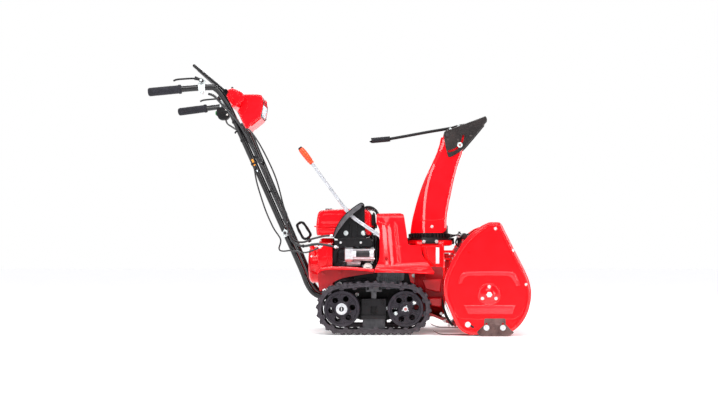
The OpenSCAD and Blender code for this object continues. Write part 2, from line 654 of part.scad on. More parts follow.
cable_rear = [[-340, -184, 652], [-332, -182, 604], [-318, -176, 552], [-296, -168, 484], [-268, -160, 420], [-240, -156, 374], [-246, -156, 338], [-232, -156, 328], [-194, -158, 330], [-147, -160, 322], [-112, -160, 330], [-80, -156, 346]];
cable_top = [[-398, -140, 838], [-368, -132, 776], [-316, -126, 660], [-268, -124, 560], [-228, -120, 458], [-205, -112, 394], [-184, -120, 368], [-150, -136, 364], [-114, -144, 377], [-62, -140, 389], [-39, -140, 389]];
module control_cables() {
  color([0.07, 0.07, 0.08]) {
    sweep(curve(cable_right, 2), 5, 8);
    sweep(curve(cable_front, 2), 3, 8);
    sweep(curve(cable_rear, 2), 3, 8);
    sweep(curve(cable_top, 2), 4, 8);
  }
}
module lever_clamps() {
  color([0.8, 0.8, 0.81]) both() {
    difference() {
      union() {
        rod([-548, -251.8, 960], [-522, -248.5, 962.6], 17);
        box([-546, -256, 972], [-522, -244, 998]);
      }
      rod([-610, -262, 954], [-505, -246, 964], tube_r + gap);
      ycyl(-534, 988, 3, -280, -230);
    }
  }
}
bail_pivot = [-450, 953];
bail_top = [-568, 1050];
module clutch_bail() {
  color([0.08, 0.08, 0.09]) difference() {
    union() {
      rod([bail_top[0], -232, bail_top[1]], [bail_top[0], 232, bail_top[1]], 6);
      both() {
        translate([bail_top[0], -232, bail_top[1]]) sphere(r = 6);
        rod([bail_top[0], -232, bail_top[1]], [bail_pivot[0], -196, bail_pivot[1]], 6);
        ycyl(bail_pivot[0], bail_pivot[1], 10, -200, -190);
      }
    }
    both() ycyl(bail_pivot[0], bail_pivot[1], 4 + fit_c, -240, -180);
  }
}
module side_lever() {
  color([0.12, 0.12, 0.13]) difference() {
    union() {
      sweep([[-536, -263, 988], [-566, -263, 995], [-600, -265, 993], [-628, -267, 990], [-640, -268, 985]], 4.5, 8);
      ycyl(-534, 988, 8, -268, -257);
    }
    ycyl(-534, 988, 3 + fit_c, -280, -250);
  }
}
module recoil_grip() {
  // loop handle on the end of the starter rope, beside the right tube
  color([0.1, 0.1, 0.11]) translate([-156, -66, 410]) rotate([0, -30, 0]) {
    difference() {
      xz(-11, 11) hull() { translate([-11, -26]) circle(12); translate([11, -26]) circle(12); translate([-9, 32]) circle(11); translate([9, 32]) circle(11); }
      xz(-13, 13) hull() { translate([-5, -21]) circle(8); translate([5, -21]) circle(8); translate([-3, 26]) circle(7); translate([3, 26]) circle(7); }
    }
    translate([0, 0, -52]) cylinder(r = 7, h = 16);
  }
}
module shift_lever() {
  color([0.9, 0.9, 0.9]) {
    difference() {
      union() {
        sweep([[-120, -140, 682], [15, -140, 498], [48, -140, 462], [96, -140, 428], [150, -140, 391]], 6, 12);
        ycyl(165, 381, 14, -144, -136);
        rod([146, -140, 394], [160, -140, 384], 6);
      }
      ycyl(165, 381, 5 + fit_c, -150, -130);
    }
  }
  color([0.95, 0.25, 0.08]) sweep([[-162, -140, 736], [-154, -140, 726], [-116, -140, 677]], 12, 12);
}
module throttle_lever() {
  color([0.15, 0.15, 0.16]) difference() {
    union() {
      rod([-448, 58, 950], [-448, 58, 990], 3.4);
      ycyl(-448, 950, 6, 55, 61);
      translate([-448, 58, 993]) sphere(r = 8);
    }
    ycyl(-448, 950, 2.5 + fit_c, 50, 66);
  }
}
module ignition_key() {
  color([0.2, 0.2, 0.2]) {
    zcyl(-446, -60, 9, 966, 982);
    box([-450, -72, 981.6], [-442, -48, 994]);
  }
}
module auger_button() {
  color([0.1, 0.6, 0.2]) xcyl(214, 926, 9, -564, -547);
}
module chute_latch() {
  color([0.12, 0.12, 0.13]) {
    difference() {
      union() {
        zcyl(478, 14, 8, 392, 404);
        box([446.5, 8, 392], [478, 20, 398]);
      }
      zcyl(478, 14, 3 + fit_c, 380, 410);
    }
    box([442.9, 4, 386], [448, 24, 399]);
  }
}
module fasteners() {
  color([0.85, 0.86, 0.88]) {
    for (s = [-1, 1]) {
      y = s * (half_w + gap + 3.1);
      for (b = [[601, 411], [668, 329], [722, 199]]) bolt(b[0], b[1], y, s, 6, 4);
      for (a = [90, 210, 330]) bolt(auger_x + 30 * cos(a), auger_z + 30 * sin(a), s * (half_w + gap + 5.1), s, 5, 5);
      for (x = [566, 629]) bolt(x, 32, s * (half_w + gap + 9.6), s, 7, 7);
      bolt(495, 45, y, s, 8, 6);
    }
    // bearing blocks under the frame, which turn on the tubes of the track frames
    both() difference() {
      xz(-93.5, -82) union() {
        translate([rear_x, axle_z]) circle(28);
        polygon([[rear_x - 28, axle_z], [rear_x + 28, axle_z], [rear_x + 34, 131.8], [rear_x - 34, 131.8]]);
      }
      ycyl(rear_x, axle_z, 18 + fit_c, -115, -70);
    }
    // clamp bolts under the chute ring and the latch stand
    for (x = [330, 381]) bolt(x, 367, -98.2, -1, 5, 5);
  }
  lever_clamps();
  color([0.1, 0.1, 0.1]) {
    // hinge pins: bail, deflector, shift lever
    both() { ycyl(bail_pivot[0], bail_pivot[1], 4, -205, -186); }
    ycyl(165, 381, 5, -147, -128);
    // throttle lever pin and side lever pins
    ycyl(-448, 950, 2.5, 52, 64);
    both() ycyl(-534, 988, 3, -272, -252);
  }
}

// ---------- the object ----------
module left(){ mirror([0, 1, 0]) children(); }
track_frames();
track_belt();  // track_belt_right
left() track_belt();  // track_belt_left
front_axle();
track_guides();
half_shaft();  // half_shaft_right
left() half_shaft();  // half_shaft_left
wheel(rear_x, 26, 12 + fit_c);  // drive_wheel_right
left() wheel(rear_x, 26, 12 + fit_c);  // drive_wheel_left
wheel(front_x, 22, 10 + fit_c);  // idler_wheel_right
left() wheel(front_x, 22, 10 + fit_c);  // idler_wheel_left
main_frame();
transmission_case();
engine_block();
cylinder_head();  // cylinder
fan_cover();
recoil_starter();
fuel_tank();
fuel_cap();
muffler();
carburettor();
starter_motor();
oil_cap();
lever_gate();
belt_cover();
fenders();
battery();
blower_housing();
auger_housing();
side_plate();  // side_plate_right
left() side_plate();  // side_plate_left
skid_shoes();
scraper_blade();
auger_gearbox();
handlebars();
handle_grips();
control_console();
switch_box();
headlight_housing();
headlight_lens();
control_cables();
chute_base();
fasteners();
crank_pulley();
drive_belts();
impeller();
auger();
chute_ring();
chute();
deflector();
deflector_handle();
shift_lever();
clutch_bail();
side_lever();  // side_lever_right
left() side_lever();  // side_lever_left
recoil_grip();
throttle_lever();
ignition_key();
auger_button();
chute_latch();
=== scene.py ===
import math
import bpy, bmesh
from mathutils import Vector, Matrix
from mathutils.geometry import tessellate_polygon


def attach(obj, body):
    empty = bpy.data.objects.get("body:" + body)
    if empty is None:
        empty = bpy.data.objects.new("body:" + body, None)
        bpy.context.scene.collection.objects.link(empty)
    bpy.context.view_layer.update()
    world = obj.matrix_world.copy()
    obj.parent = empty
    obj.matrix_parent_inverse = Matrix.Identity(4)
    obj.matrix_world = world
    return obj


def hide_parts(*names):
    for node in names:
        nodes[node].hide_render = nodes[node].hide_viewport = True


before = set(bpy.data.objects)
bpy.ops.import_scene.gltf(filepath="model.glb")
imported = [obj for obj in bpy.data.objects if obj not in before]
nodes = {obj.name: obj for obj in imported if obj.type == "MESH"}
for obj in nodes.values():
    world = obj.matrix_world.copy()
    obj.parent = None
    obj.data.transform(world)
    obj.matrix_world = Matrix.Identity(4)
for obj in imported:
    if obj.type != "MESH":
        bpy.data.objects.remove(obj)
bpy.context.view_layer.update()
V = Vector
S = 0.001
pi = math.pi


# ------------------------------------------------------------------ materials
def srgb(r, g, b):
    f = lambda c: (c / 255 / 12.92) if c <= 10 else ((c / 255 + 0.055) / 1.055) ** 2.4
    return (f(r), f(g), f(b), 1)


def make_mat(name, c1, c2, scale=30, rough=(0.3, 0.4), metal=0.0, coat=0.0, coat_rough=0.05, bump=None, dust_and_shade=None,
             scratch=None, speck=None, spec=0.5, stretch=(1, 1, 1), aniso=0.0, sheen=0.0, ribs=None, trans=0.0):
    m = bpy.data.materials.new(name)
    m.use_nodes = True
    t = m.node_tree
    t.nodes.clear()
    N = t.nodes.new
    L = t.links.new
    out = N("ShaderNodeOutputMaterial")
    bs = N("ShaderNodeBsdfPrincipled")
    L(bs.outputs[0], out.inputs[0])
    tc = N("ShaderNodeTexCoord")
    mp = N("ShaderNodeMapping")
    mp.inputs["Scale"].default_value = stretch
    L(tc.outputs["Object"], mp.inputs["Vector"])
    n1 = N("ShaderNodeTexNoise")
    n1.inputs["Scale"].default_value = scale
    n1.inputs["Detail"].default_value = 6
    n1.inputs["Roughness"].default_value = 0.62
    L(mp.outputs[0], n1.inputs["Vector"])
    ramp = N("ShaderNodeValToRGB")
    ramp.color_ramp.elements[0].position = 0.32
    ramp.color_ramp.elements[1].position = 0.7
    ramp.color_ramp.elements[0].color = c1
    ramp.color_ramp.elements[1].color = c2
    L(n1.outputs["Fac"], ramp.inputs["Fac"])
    col = ramp.outputs["Color"]

    def mix(a, colour, fac):
        x = N("ShaderNodeMix")
        x.data_type = "RGBA"
        L(a, x.inputs["A"])
        x.inputs["B"].default_value = colour
        L(fac, x.inputs["Factor"])
        return x.outputs["Result"]

    if speck:  # (scale, colour, low, high)
        v = N("ShaderNodeTexVoronoi")
        v.inputs["Scale"].default_value = speck[0]
        L(tc.outputs["Object"], v.inputs["Vector"])
        r = N("ShaderNodeMapRange")
        r.inputs["From Min"].default_value = speck[2]
        r.inputs["From Max"].default_value = speck[3]
        r.inputs["To Min"].default_value = 1
        r.inputs["To Max"].default_value = 0
        L(v.outputs["Distance"], r.inputs["Value"])
        col = mix(col, speck[1], r.outputs["Result"])
    if scratch:  # (scale, stretch vector, colour, threshold, width)
        m2 = N("ShaderNodeMapping")
        m2.inputs["Scale"].default_value = scratch[1]
        m2.inputs["Rotation"].default_value = (0.1, 0.35, 0.2)
        L(tc.outputs["Object"], m2.inputs["Vector"])
        n2 = N("ShaderNodeTexNoise")
        n2.inputs["Scale"].default_value = scratch[0]
        n2.inputs["Detail"].default_value = 3
        L(m2.outputs[0], n2.inputs["Vector"])
        r = N("ShaderNodeMapRange")
        r.inputs["From Min"].default_value = scratch[3]
        r.inputs["From Max"].default_value = scratch[3] + scratch[4]
        L(n2.outputs["Fac"], r.inputs["Value"])
        col = mix(col, scratch[2], r.outputs["Result"])
    # mixes the colour towards a tint low down, fading out by z high: real dust on the tracks, wheels and black steel,
    # painted shade on the shadow reds, darker towards the bottom elsewhere
    if dust_and_shade:  # (colour, amount, z low, z high) in metres
        sx = N("ShaderNodeSeparateXYZ")
        L(tc.outputs["Object"], sx.inputs[0])
        r = N("ShaderNodeMapRange")
        r.inputs["From Min"].default_value = dust_and_shade[2]
        r.inputs["From Max"].default_value = dust_and_shade[3]
        r.inputs["To Min"].default_value = dust_and_shade[1]
        r.inputs["To Max"].default_value = 0
        L(sx.outputs["Z"], r.inputs["Value"])
        n3 = N("ShaderNodeTexNoise")
        n3.inputs["Scale"].default_value = 55
        n3.inputs["Detail"].default_value = 8
        L(tc.outputs["Object"], n3.inputs["Vector"])
        mu = N("ShaderNodeMath")
        mu.operation = "MULTIPLY"
        L(r.outputs["Result"], mu.inputs[0])
        L(n3.outputs["Fac"], mu.inputs[1])
        col = mix(col, dust_and_shade[0], mu.outputs[0])
    L(col, bs.inputs["Base Color"])
    r = N("ShaderNodeMapRange")
    r.inputs["From Min"].default_value = 0.3
    r.inputs["From Max"].default_value = 0.7
    r.inputs["To Min"].default_value = rough[0]
    r.inputs["To Max"].default_value = rough[1]
    L(n1.outputs["Fac"], r.inputs["Value"])
    L(r.outputs["Result"], bs.inputs["Roughness"])
    bs.inputs["Metallic"].default_value = metal
    bs.inputs["Coat Weight"].default_value = coat
    bs.inputs["Coat Roughness"].default_value = coat_rough
    bs.inputs["Specular IOR Level"].default_value = spec
    bs.inputs["Anisotropic"].default_value = aniso
    bs.inputs["Sheen Weight"].default_value = sheen
    bs.inputs["Transmission Weight"].default_value = trans
    height = None
    if bump:  # (scale, strength, distance in metres)
        nb = N("ShaderNodeTexNoise")
        nb.inputs["Scale"].default_value = bump[0]
        nb.inputs["Detail"].default_value = 4
        L(mp.outputs[0], nb.inputs["Vector"])
        b = N("ShaderNodeBump")
        b.inputs["Strength"].default_value = bump[1]
        b.inputs["Distance"].default_value = bump[2]
        L(nb.outputs["Fac"], b.inputs["Height"])
        height = b.outputs["Normal"]
        L(height, bs.inputs["Normal"])
    return m


RED = make_mat("red_enamel", srgb(246, 8, 22), srgb(254, 14, 28), scale=14, rough=(0.3, 0.38), coat=0.8, coat_rough=0.06, spec=0.12,
               bump=(340, 0.05, 0.0006), dust_and_shade=(srgb(150, 60, 50), 0.3, 0.0, 0.1))
RED_PL = make_mat("red_plate_enamel", srgb(248, 8, 20), srgb(255, 14, 26), scale=14, rough=(0.34, 0.42), coat=0.12, coat_rough=0.1, spec=0.12,
                  bump=(340, 0.05, 0.0006))
RED_X = make_mat("red_shadow_enamel", srgb(122, 2, 10), srgb(158, 4, 14), scale=16, rough=(0.42, 0.52), coat=0.15, coat_rough=0.2, spec=0.15,
                 bump=(300, 0.08, 0.0006), dust_and_shade=(srgb(70, 16, 14), 0.6, 0.04, 0.2))
# painted shade: a darker copy of the red enamel for parts that sit in shadow (lower fender panels, blower pressings and
# recesses, stay under the drum, impeller)
RED_SHADE = make_mat("red_enamel_painted_shade", srgb(168, 2, 14), srgb(198, 5, 20), scale=18, rough=(0.32, 0.42), coat=0.5, coat_rough=0.08, spec=0.3,
                 bump=(300, 0.06, 0.0006), dust_and_shade=(srgb(110, 30, 25), 0.5, 0.02, 0.16))
RED_P = make_mat("red_moulding", srgb(247, 10, 24), srgb(254, 18, 32), scale=22, rough=(0.26, 0.34), coat=0.7, coat_rough=0.08, spec=0.12,
                 bump=(900, 0.06, 0.0003))
RED_TANK = make_mat("red_tank", srgb(236, 8, 22), srgb(250, 16, 30), scale=10, rough=(0.26, 0.34), coat=0.9, coat_rough=0.04, spec=0.12,
                    bump=(200, 0.05, 0.0006))
BLACKP = make_mat("black_tube_paint", srgb(5, 4, 6), srgb(12, 10, 13), scale=40, rough=(0.2, 0.3), coat=0.55, coat_rough=0.04, spec=0.25,
                  bump=(500, 0.05, 0.0004), scratch=(60, (1, 1, 0.15), srgb(60, 58, 62), 0.68, 0.1))
BLACKS = make_mat("black_satin_steel", srgb(9, 8, 10), srgb(22, 19, 23), scale=35, rough=(0.38, 0.52), coat=0.05, coat_rough=0.2, spec=0.25,
                  bump=(600, 0.12, 0.0004), dust_and_shade=(srgb(80, 74, 74), 0.3, 0.0, 0.12))
BLACKPL = make_mat("black_moulding", srgb(11, 11, 13), srgb(23, 22, 25), scale=60, rough=(0.34, 0.48), spec=0.26,
                   bump=(1400, 0.25, 0.0003))
DEFL = make_mat("deflector_steel", srgb(13, 11, 12), srgb(44, 35, 33), scale=9, rough=(0.3, 0.42), coat=0.3, coat_rough=0.15,
                bump=(500, 0.1, 0.0004), scratch=(40, (1, 0.2, 1), srgb(92, 84, 80), 0.66, 0.12))
# painted highlight: a lighter copy of the red enamel for the embossed band and the raised tray on the side plates
RED_LIT = make_mat("red_pressing_painted_highlight", srgb(250, 22, 32), srgb(255, 40, 50), scale=14, rough=(0.28, 0.36), coat=0.4, coat_rough=0.08, spec=0.3,
                 bump=(340, 0.05, 0.0006))
TRACK = make_mat("track_rubber", srgb(46, 42, 48), srgb(76, 70, 76), scale=45, rough=(0.62, 0.85), spec=0.25,
                 bump=(700, 0.5, 0.0006), dust_and_shade=(srgb(110, 102, 100), 0.3, 0.0, 0.06), speck=(900, srgb(120, 112, 116), 0.0, 0.16))
GRIP = make_mat("grip_rubber", srgb(24, 24, 29), srgb(42, 41, 50), scale=70, rough=(0.6, 0.8), spec=0.25, bump=(1600, 0.4, 0.0003), sheen=0.1)
BELTR = make_mat("belt_rubber", srgb(16, 16, 17), srgb(34, 33, 34), scale=90, rough=(0.6, 0.8), bump=(2000, 0.4, 0.0003))
WHEEL = make_mat("wheel_iron", srgb(27, 23, 30), srgb(47, 41, 50), scale=38, rough=(0.36, 0.55), metal=0.1, spec=0.3, coat=0.08, coat_rough=0.3,
                 bump=(420, 0.25, 0.0006), dust_and_shade=(srgb(100, 94, 96), 0.3, 0.0, 0.1))
SLIDE = make_mat("slide_plastic", srgb(60, 60, 64), srgb(96, 94, 98), scale=50, rough=(0.45, 0.6), bump=(800, 0.2, 0.0004),
                 scratch=(50, (0.1, 1, 1), srgb(150, 148, 150), 0.62, 0.1))
CAST = make_mat("cast_aluminium", srgb(92, 98, 104), srgb(140, 148, 154), scale=60, rough=(0.38, 0.55), metal=0.5,
                bump=(1100, 0.35, 0.0004), dust_and_shade=(srgb(60, 56, 58), 0.6, 0.1, 0.3))
ENGD = make_mat("engine_casting", srgb(34, 33, 38), srgb(58, 56, 62), scale=50, rough=(0.4, 0.6), metal=0.35, bump=(1000, 0.35, 0.0004))
DARKS = make_mat("dark_steel", srgb(40, 38, 40), srgb(70, 66, 68), scale=40, rough=(0.36, 0.55), metal=0.6, bump=(700, 0.2, 0.0004),
                 speck=(500, srgb(96, 60, 44), 0.0, 0.1))
BRIGHT = make_mat("bright_steel", srgb(206, 208, 212), srgb(238, 239, 242), scale=90, rough=(0.3, 0.42), metal=0.55,
                  bump=(1500, 0.1, 0.0002), aniso=0.3)
ZINC = make_mat("zinc_plate", srgb(206, 214, 214), srgb(240, 246, 246), scale=120, rough=(0.26, 0.4), metal=0.45,
                bump=(1500, 0.12, 0.0002))
WORN = make_mat("worn_steel", srgb(78, 58, 56), srgb(126, 102, 98), scale=34, rough=(0.36, 0.6), metal=0.55, bump=(600, 0.35, 0.0005),
                scratch=(46, (0.12, 1, 1), srgb(176, 160, 152), 0.6, 0.1), speck=(260, srgb(60, 36, 28), 0.0, 0.12))
WHITEP = make_mat("white_plastic", srgb(226, 228, 222), srgb(246, 247, 242), scale=80, rough=(0.3, 0.42), bump=(900, 0.15, 0.0003))
WHITEL = make_mat("lever_chrome", srgb(172, 175, 182), srgb(214, 216, 222), scale=60, rough=(0.16, 0.28), metal=0.4, coat=0.4,
                  bump=(900, 0.08, 0.0002))
ORANGE = make_mat("orange_grip", srgb(236, 58, 10), srgb(252, 84, 24), scale=60, rough=(0.3, 0.4), coat=0.2, coat_rough=0.15,
                  bump=(1200, 0.2, 0.0003))
GREEN = make_mat("green_button", srgb(14, 120, 52), srgb(26, 150, 66), scale=80, rough=(0.3, 0.42), bump=(1200, 0.2, 0.0003))
CABLE = make_mat("cable_sheath", srgb(14, 14, 16), srgb(30, 29, 33), scale=90, rough=(0.28, 0.42), coat=0.3, coat_rough=0.15,
                 bump=(1600, 0.2, 0.0002))
CHROME = make_mat("reflector_chrome", srgb(226, 230, 236), srgb(250, 252, 255), scale=40, rough=(0.06, 0.12), metal=1.0)
LENS = make_mat("lamp_lens", srgb(224, 240, 246), srgb(248, 252, 255), scale=60, rough=(0.06, 0.14), coat=0.8, coat_rough=0.03,
                bump=(260, 0.3, 0.0008))
LABEL = make_mat("blank_label", srgb(224, 240, 246), srgb(250, 252, 255), scale=120, rough=(0.3, 0.4), bump=(900, 0.1, 0.0002))
AMBER = make_mat("amber_label", srgb(238, 140, 24), srgb(252, 168, 60), scale=120, rough=(0.3, 0.4), bump=(900, 0.1, 0.0002))
PINK = make_mat("copper_bolt", srgb(170, 98, 96), srgb(206, 136, 130), scale=120, rough=(0.3, 0.45), metal=0.5, bump=(1200, 0.2, 0.0002))


# ------------------------------------------------------------------ geometry helpers (millimetres in, metres out)
def catmull(p, k=8):
    p = [V(q) for q in p]
    out = []
    for i in range(len(p) - 1):
        a, b, c, d = p[max(i - 1, 0)], p[i], p[i + 1], p[min(i + 2, len(p) - 1)]
        for j in range(k):
            t = j / k
            out.append(0.5 * (2 * b + (c - a) * t + (2 * a - 5 * b + 4 * c - d) * t * t + (3 * b - a - 3 * c + d) * t ** 3))
    out.append(p[-1])
    return out


def smooth2(p, k=6, closed=True, keep=()):
    """Closed 2D Catmull-Rom outline through points; corners in keep stay sharp."""
    n = len(p)
    out = []
    for i in range(n if closed else n - 1):
        b, c = V(p[i]), V(p[(i + 1) % n])
        a = V(p[i - 1]) if i not in keep else b * 2 - c
        d = V(p[(i + 2) % n]) if (i + 1) % n not in keep else c * 2 - b
        if not closed and i == 0:
            a = b * 2 - c
        if not closed and i == n - 2:
            d = c * 2 - b
        for j in range(k):
            t = j / k
            out.append(tuple(0.5 * (2 * b + (c - a) * t + (2 * a - 5 * b + 4 * c - d) * t * t + (3 * b - a - 3 * c + d) * t ** 3)))
    if not closed:
        out.append(tuple(p[-1]))
    return out


def offset2(p, d):
    """Moves a closed outline inwards by d (miter joins)."""
    n = len(p)
    area = sum(p[i][0] * p[(i + 1) % n][1] - p[(i + 1) % n][0] * p[i][1] for i in range(n))
    s = 1 if area > 0 else -1
    out = []
    for i in range(n):
        a, b, c = V(p[i - 1]), V(p[i]), V(p[(i + 1) % n])
        e1, e2 = (b - a), (c - b)
        if e1.length < 1e-9 or e2.length < 1e-9:
            out.append(tuple(b))
            continue
        e1.normalize(), e2.normalize()
        n1, n2 = V((-e1.y, e1.x)) * s, V((-e2.y, e2.x)) * s
        m = n1 + n2
        if m.length < 1e-6:
            m = n1
        m.normalize()
        k = max(0.4, m.dot(n1))
        out.append(tuple(b + m * (d / k)))
    return out


def circ(x, z, r, n=32, a0=0, a1=360):
    if a1 - a0 >= 360:
        return [(x + r * math.cos(2 * pi * i / n), z + r * math.sin(2 * pi * i / n)) for i in range(n)]
    return [(x + r * math.cos(math.radians(a0 + (a1 - a0) * i / n)), z + r * math.sin(math.radians(a0 + (a1 - a0) * i / n))) for i in range(n + 1)]


class Piece:
    def __init__(self, name, material):
        self.name, self.v, self.f, self.mi, self.mats, self.cur = name, [], [], [], [material], 0

    def mat(self, m):
        if m not in self.mats:
            self.mats.append(m)
        self.cur = self.mats.index(m)
        return self

    def put(self, verts, faces, mirror=False):
        for s in ((1, -1) if mirror else (1,)):
            o = len(self.v)
            self.v += [(v[0], v[1] * s, v[2]) for v in verts]
            self.f += [[o + i for i in (f if s == 1 else f[::-1])] for f in faces]
            self.mi += [self.cur] * len(faces)
        return self

    # rings of points joined to a skin
    def loft(self, rings, closed=True, cap=(True, True), mirror=False):
        n = len(rings[0])
        v = [tuple(p) for r in rings for p in r]
        f = []
        for i in range(len(rings) - 1):
            for j in range(n if closed else n - 1):
                k = (j + 1) % n
                f.append([i * n + j, i * n + k, (i + 1) * n + k, (i + 1) * n + j])
        if cap[0]:
            f.append(list(range(n))[::-1])
        if cap[1]:
            f.append([(len(rings) - 1) * n + j for j in range(n)])
        return self.put(v, f, mirror)

    def tube(self, path, r, n=16, k=6, smooth=True, mirror=False, round_ends=True, flat=None):
        p = catmull(path, k) if smooth else [V(q) for q in path]
        q = [p[0]]
        for a in p[1:]:
            if (a - q[-1]).length > 1e-4:
                q.append(a)
        p = q
        m = len(p)
        T = []
        for i in range(m):
            d = p[min(i + 1, m - 1)] - p[max(i - 1, 0)]
            T.append(d.normalized())
        u = T[0].cross(V((0, 1, 0)) if abs(T[0].y) < 0.9 else V((1, 0, 0))).normalized()
        rings = []

        def ring(c, t, u, rr):
            w = t.cross(u)
            fl = flat or (1, 1)
            return [c + (u * (math.cos(2 * pi * j / n) * fl[0]) + w * (math.sin(2 * pi * j / n) * fl[1])) * rr for j in range(n)]

        rad = r if callable(r) else (lambda s: r)
        for i in range(m):
            if i:
                u = (u - T[i] * u.dot(T[i])).normalized()
            rr = rad(i / (m - 1))
            if i == 0 and round_ends:
                rings += [ring(p[0] + T[0] * rr * 0.0, T[0], u, rr * 0.72), ring(p[0] + T[0] * rr * 0.1, T[0], u, rr * 0.93),
                          ring(p[0] + T[0] * rr * 0.28, T[0], u, rr)]
            elif i == m - 1 and round_ends:
                rings += [ring(p[-1] - T[-1] * rr * 0.28, T[-1], u, rr), ring(p[-1] - T[-1] * rr * 0.1, T[-1], u, rr * 0.93),
                          ring(p[-1], T[-1], u, rr * 0.72)]
            else:
                rings.append(ring(p[i], T[i], u, rr))
        return self.loft(rings, mirror=mirror)

    def lathe(self, o, d, prof, n=48, mirror=False, cap=(True, True), phase=0):
        """prof: (radius, height along d from o)."""
        o, d = V(o), V(d).normalized()
        u = d.cross(V((0, 0, 1)) if abs(d.z) < 0.9 else V((1, 0, 0))).normalized()
        w = d.cross(u)
        rings = [[o + d * h + (u * math.cos(2 * pi * (j + phase) / n) + w * math.sin(2 * pi * (j + phase) / n)) * r for j in range(n)] for r, h in prof]
        return self.loft(rings, mirror=mirror, cap=cap)

    def prism(self, poly, y0, y1, mirror=False, ch=0):
        """Outline in X,Z pushed along Y, with an optional chamfer."""
        if ch:
            ins = offset2(poly, ch)
            rings = [[(a, y0, b) for a, b in ins], [(a, y0 + ch, b) for a, b in poly], [(a, y1 - ch, b) for a, b in poly], [(a, y1, b) for a, b in ins]]
        else:
            rings = [[(a, y0, b) for a, b in poly], [(a, y1, b) for a, b in poly]]
        return self.loft(rings, mirror=mirror)

    def plate(self, outer, holes, y0, y1, mirror=False):
        loops = [outer] + holes
        flat = [p for l in loops for p in l]
        tri = tessellate_polygon([[V((a, b, 0)) for a, b in l] for l in loops])
        n = len(flat)
        v = [(a, y0, b) for a, b in flat] + [(a, y1, b) for a, b in flat]
        f = [list(t) for t in tri] + [[i + n for i in t][::-1] for t in tri]
        o = 0
        for l in loops:
            m = len(l)
            f += [[o + j, o + (j + 1) % m, o + (j + 1) % m + n, o + j + n] for j in range(m)]
            o += m
        return self.put(v, f, mirror)

    def box(self, a, b, mirror=False, ch=0):
        (x0, y0, z0), (x1, y1, z1) = a, b
        if ch:
            return self.prism([(x0, z0), (x1, z0), (x1, z1), (x0, z1)], y0, y1, mirror, ch)
        v = [(x0, y0, z0), (x1, y0, z0), (x1, y1, z0), (x0, y1, z0), (x0, y0, z1), (x1, y0, z1), (x1, y1, z1), (x0, y1, z1)]
        return self.put(v, [[0, 3, 2, 1], [4, 5, 6, 7], [0, 1, 5, 4], [1, 2, 6, 5], [2, 3, 7, 6], [3, 0, 4, 7]], mirror)

    def bolt(self, o, d, r=6, h=5, washer=1.35, mirror=False, phase=0.0):
        """Hexagon head with a chamfered top on a washer."""
        if washer:
            self.lathe(o, d, [(r * washer * 0.98, 0), (r * washer, 0.2), (r * washer, 1.2), (r * washer * 0.94, 1.6)], 24, mirror)
        self.lathe(o, d, [(r, 1.2), (r, h * 0.86), (r * 0.88, h)], 6, mirror, phase=phase)
        self.lathe(o, d, [(r * 0.62, h - 0.05), (r * 0.56, h + 0.5)], 16, mirror)
        return self

    def screw(self, o, d, r=8, h=4, slot=True, mirror=False):
        self.lathe(o, d, [(r, 0), (r, h * 0.45), (r * 0.85, h * 0.8), (r * 0.5, h), (r * 0.3, h)], 24, mirror)
        return self

    def done(self, body, replaces=(), bevel=0.0, seg=2, limit=32, sharp=38, sub=0, cap_normals=True):
        me = bpy.data.meshes.new(self.name)
        me.from_pydata([(a * S, b * S, c * S) for a, b, c in self.v], [], self.f)
        for m in self.mats:
            me.materials.append(m)
        me.polygons.foreach_set("material_index", self.mi)
        me.validate()
        bm = bmesh.new()
        bm.from_mesh(me)
        bmesh.ops.remove_doubles(bm, verts=bm.verts, dist=1e-6)
        bmesh.ops.recalc_face_normals(bm, faces=bm.faces)
        bm.to_mesh(me)
        bm.free()
        me.polygons.foreach_set("use_smooth", [True] * len(me.polygons))
        me.set_sharp_from_angle(angle=math.radians(sharp))
        ob = bpy.data.objects.new(self.name, me)
        bpy.context.scene.collection.objects.link(ob)
        if bevel:
            b = ob.modifiers.new("bevel", "BEVEL")
            b.width = bevel * S
            b.segments = seg
            b.limit_method = "ANGLE"
            b.angle_limit = math.radians(limit)
            b.miter_outer = "MITER_ARC"
            w = ob.modifiers.new("wn", "WEIGHTED_NORMAL")
            w.keep_sharp = False
            w.weight = 60
            me.set_sharp_from_angle(angle=math.radians(180))
        if sub:
            s = ob.modifiers.new("sub", "SUBSURF")
            s.levels = s.render_levels = sub
        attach(ob, body)
        if replaces:
            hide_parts(*replaces)
        return ob


def keep(node, material, bevel=1.2, limit=35):
    """A CAD node that stays: soft edges, smooth round faces and a real material."""
    o = nodes[node]
    me = o.data
    if "custom_normal" in me.attributes:
        me.attributes.remove(me.attributes["custom_normal"])
    me.polygons.foreach_set("use_smooth", [True] * len(me.polygons))
    w = o.modifiers.new("weld", "WELD")
    w.merge_threshold = 0.00002
    if bevel:
        b = o.modifiers.new("bevel", "BEVEL")
        b.width = bevel * S
        b.segments = 2
        b.limit_method = "ANGLE"
        b.angle_limit = math.radians(limit)
        n = o.modifiers.new("wn", "WEIGHTED_NORMAL")
        n.weight = 60
    me.materials.clear()
    me.materials.append(material)
    return o


Y1 = V((0, -1, 0))

# ------------------------------------------------------------------ tracks
RX, FX, AZ = 8.0, 256.0, 102.0
SPAN = FX - RX
LEN = 2 * SPAN + 2 * pi * 89


def rise(x):
    return max(0.0, -3 + 10 * math.sin(pi * min(max((x - RX) / SPAN, 0), 1)))


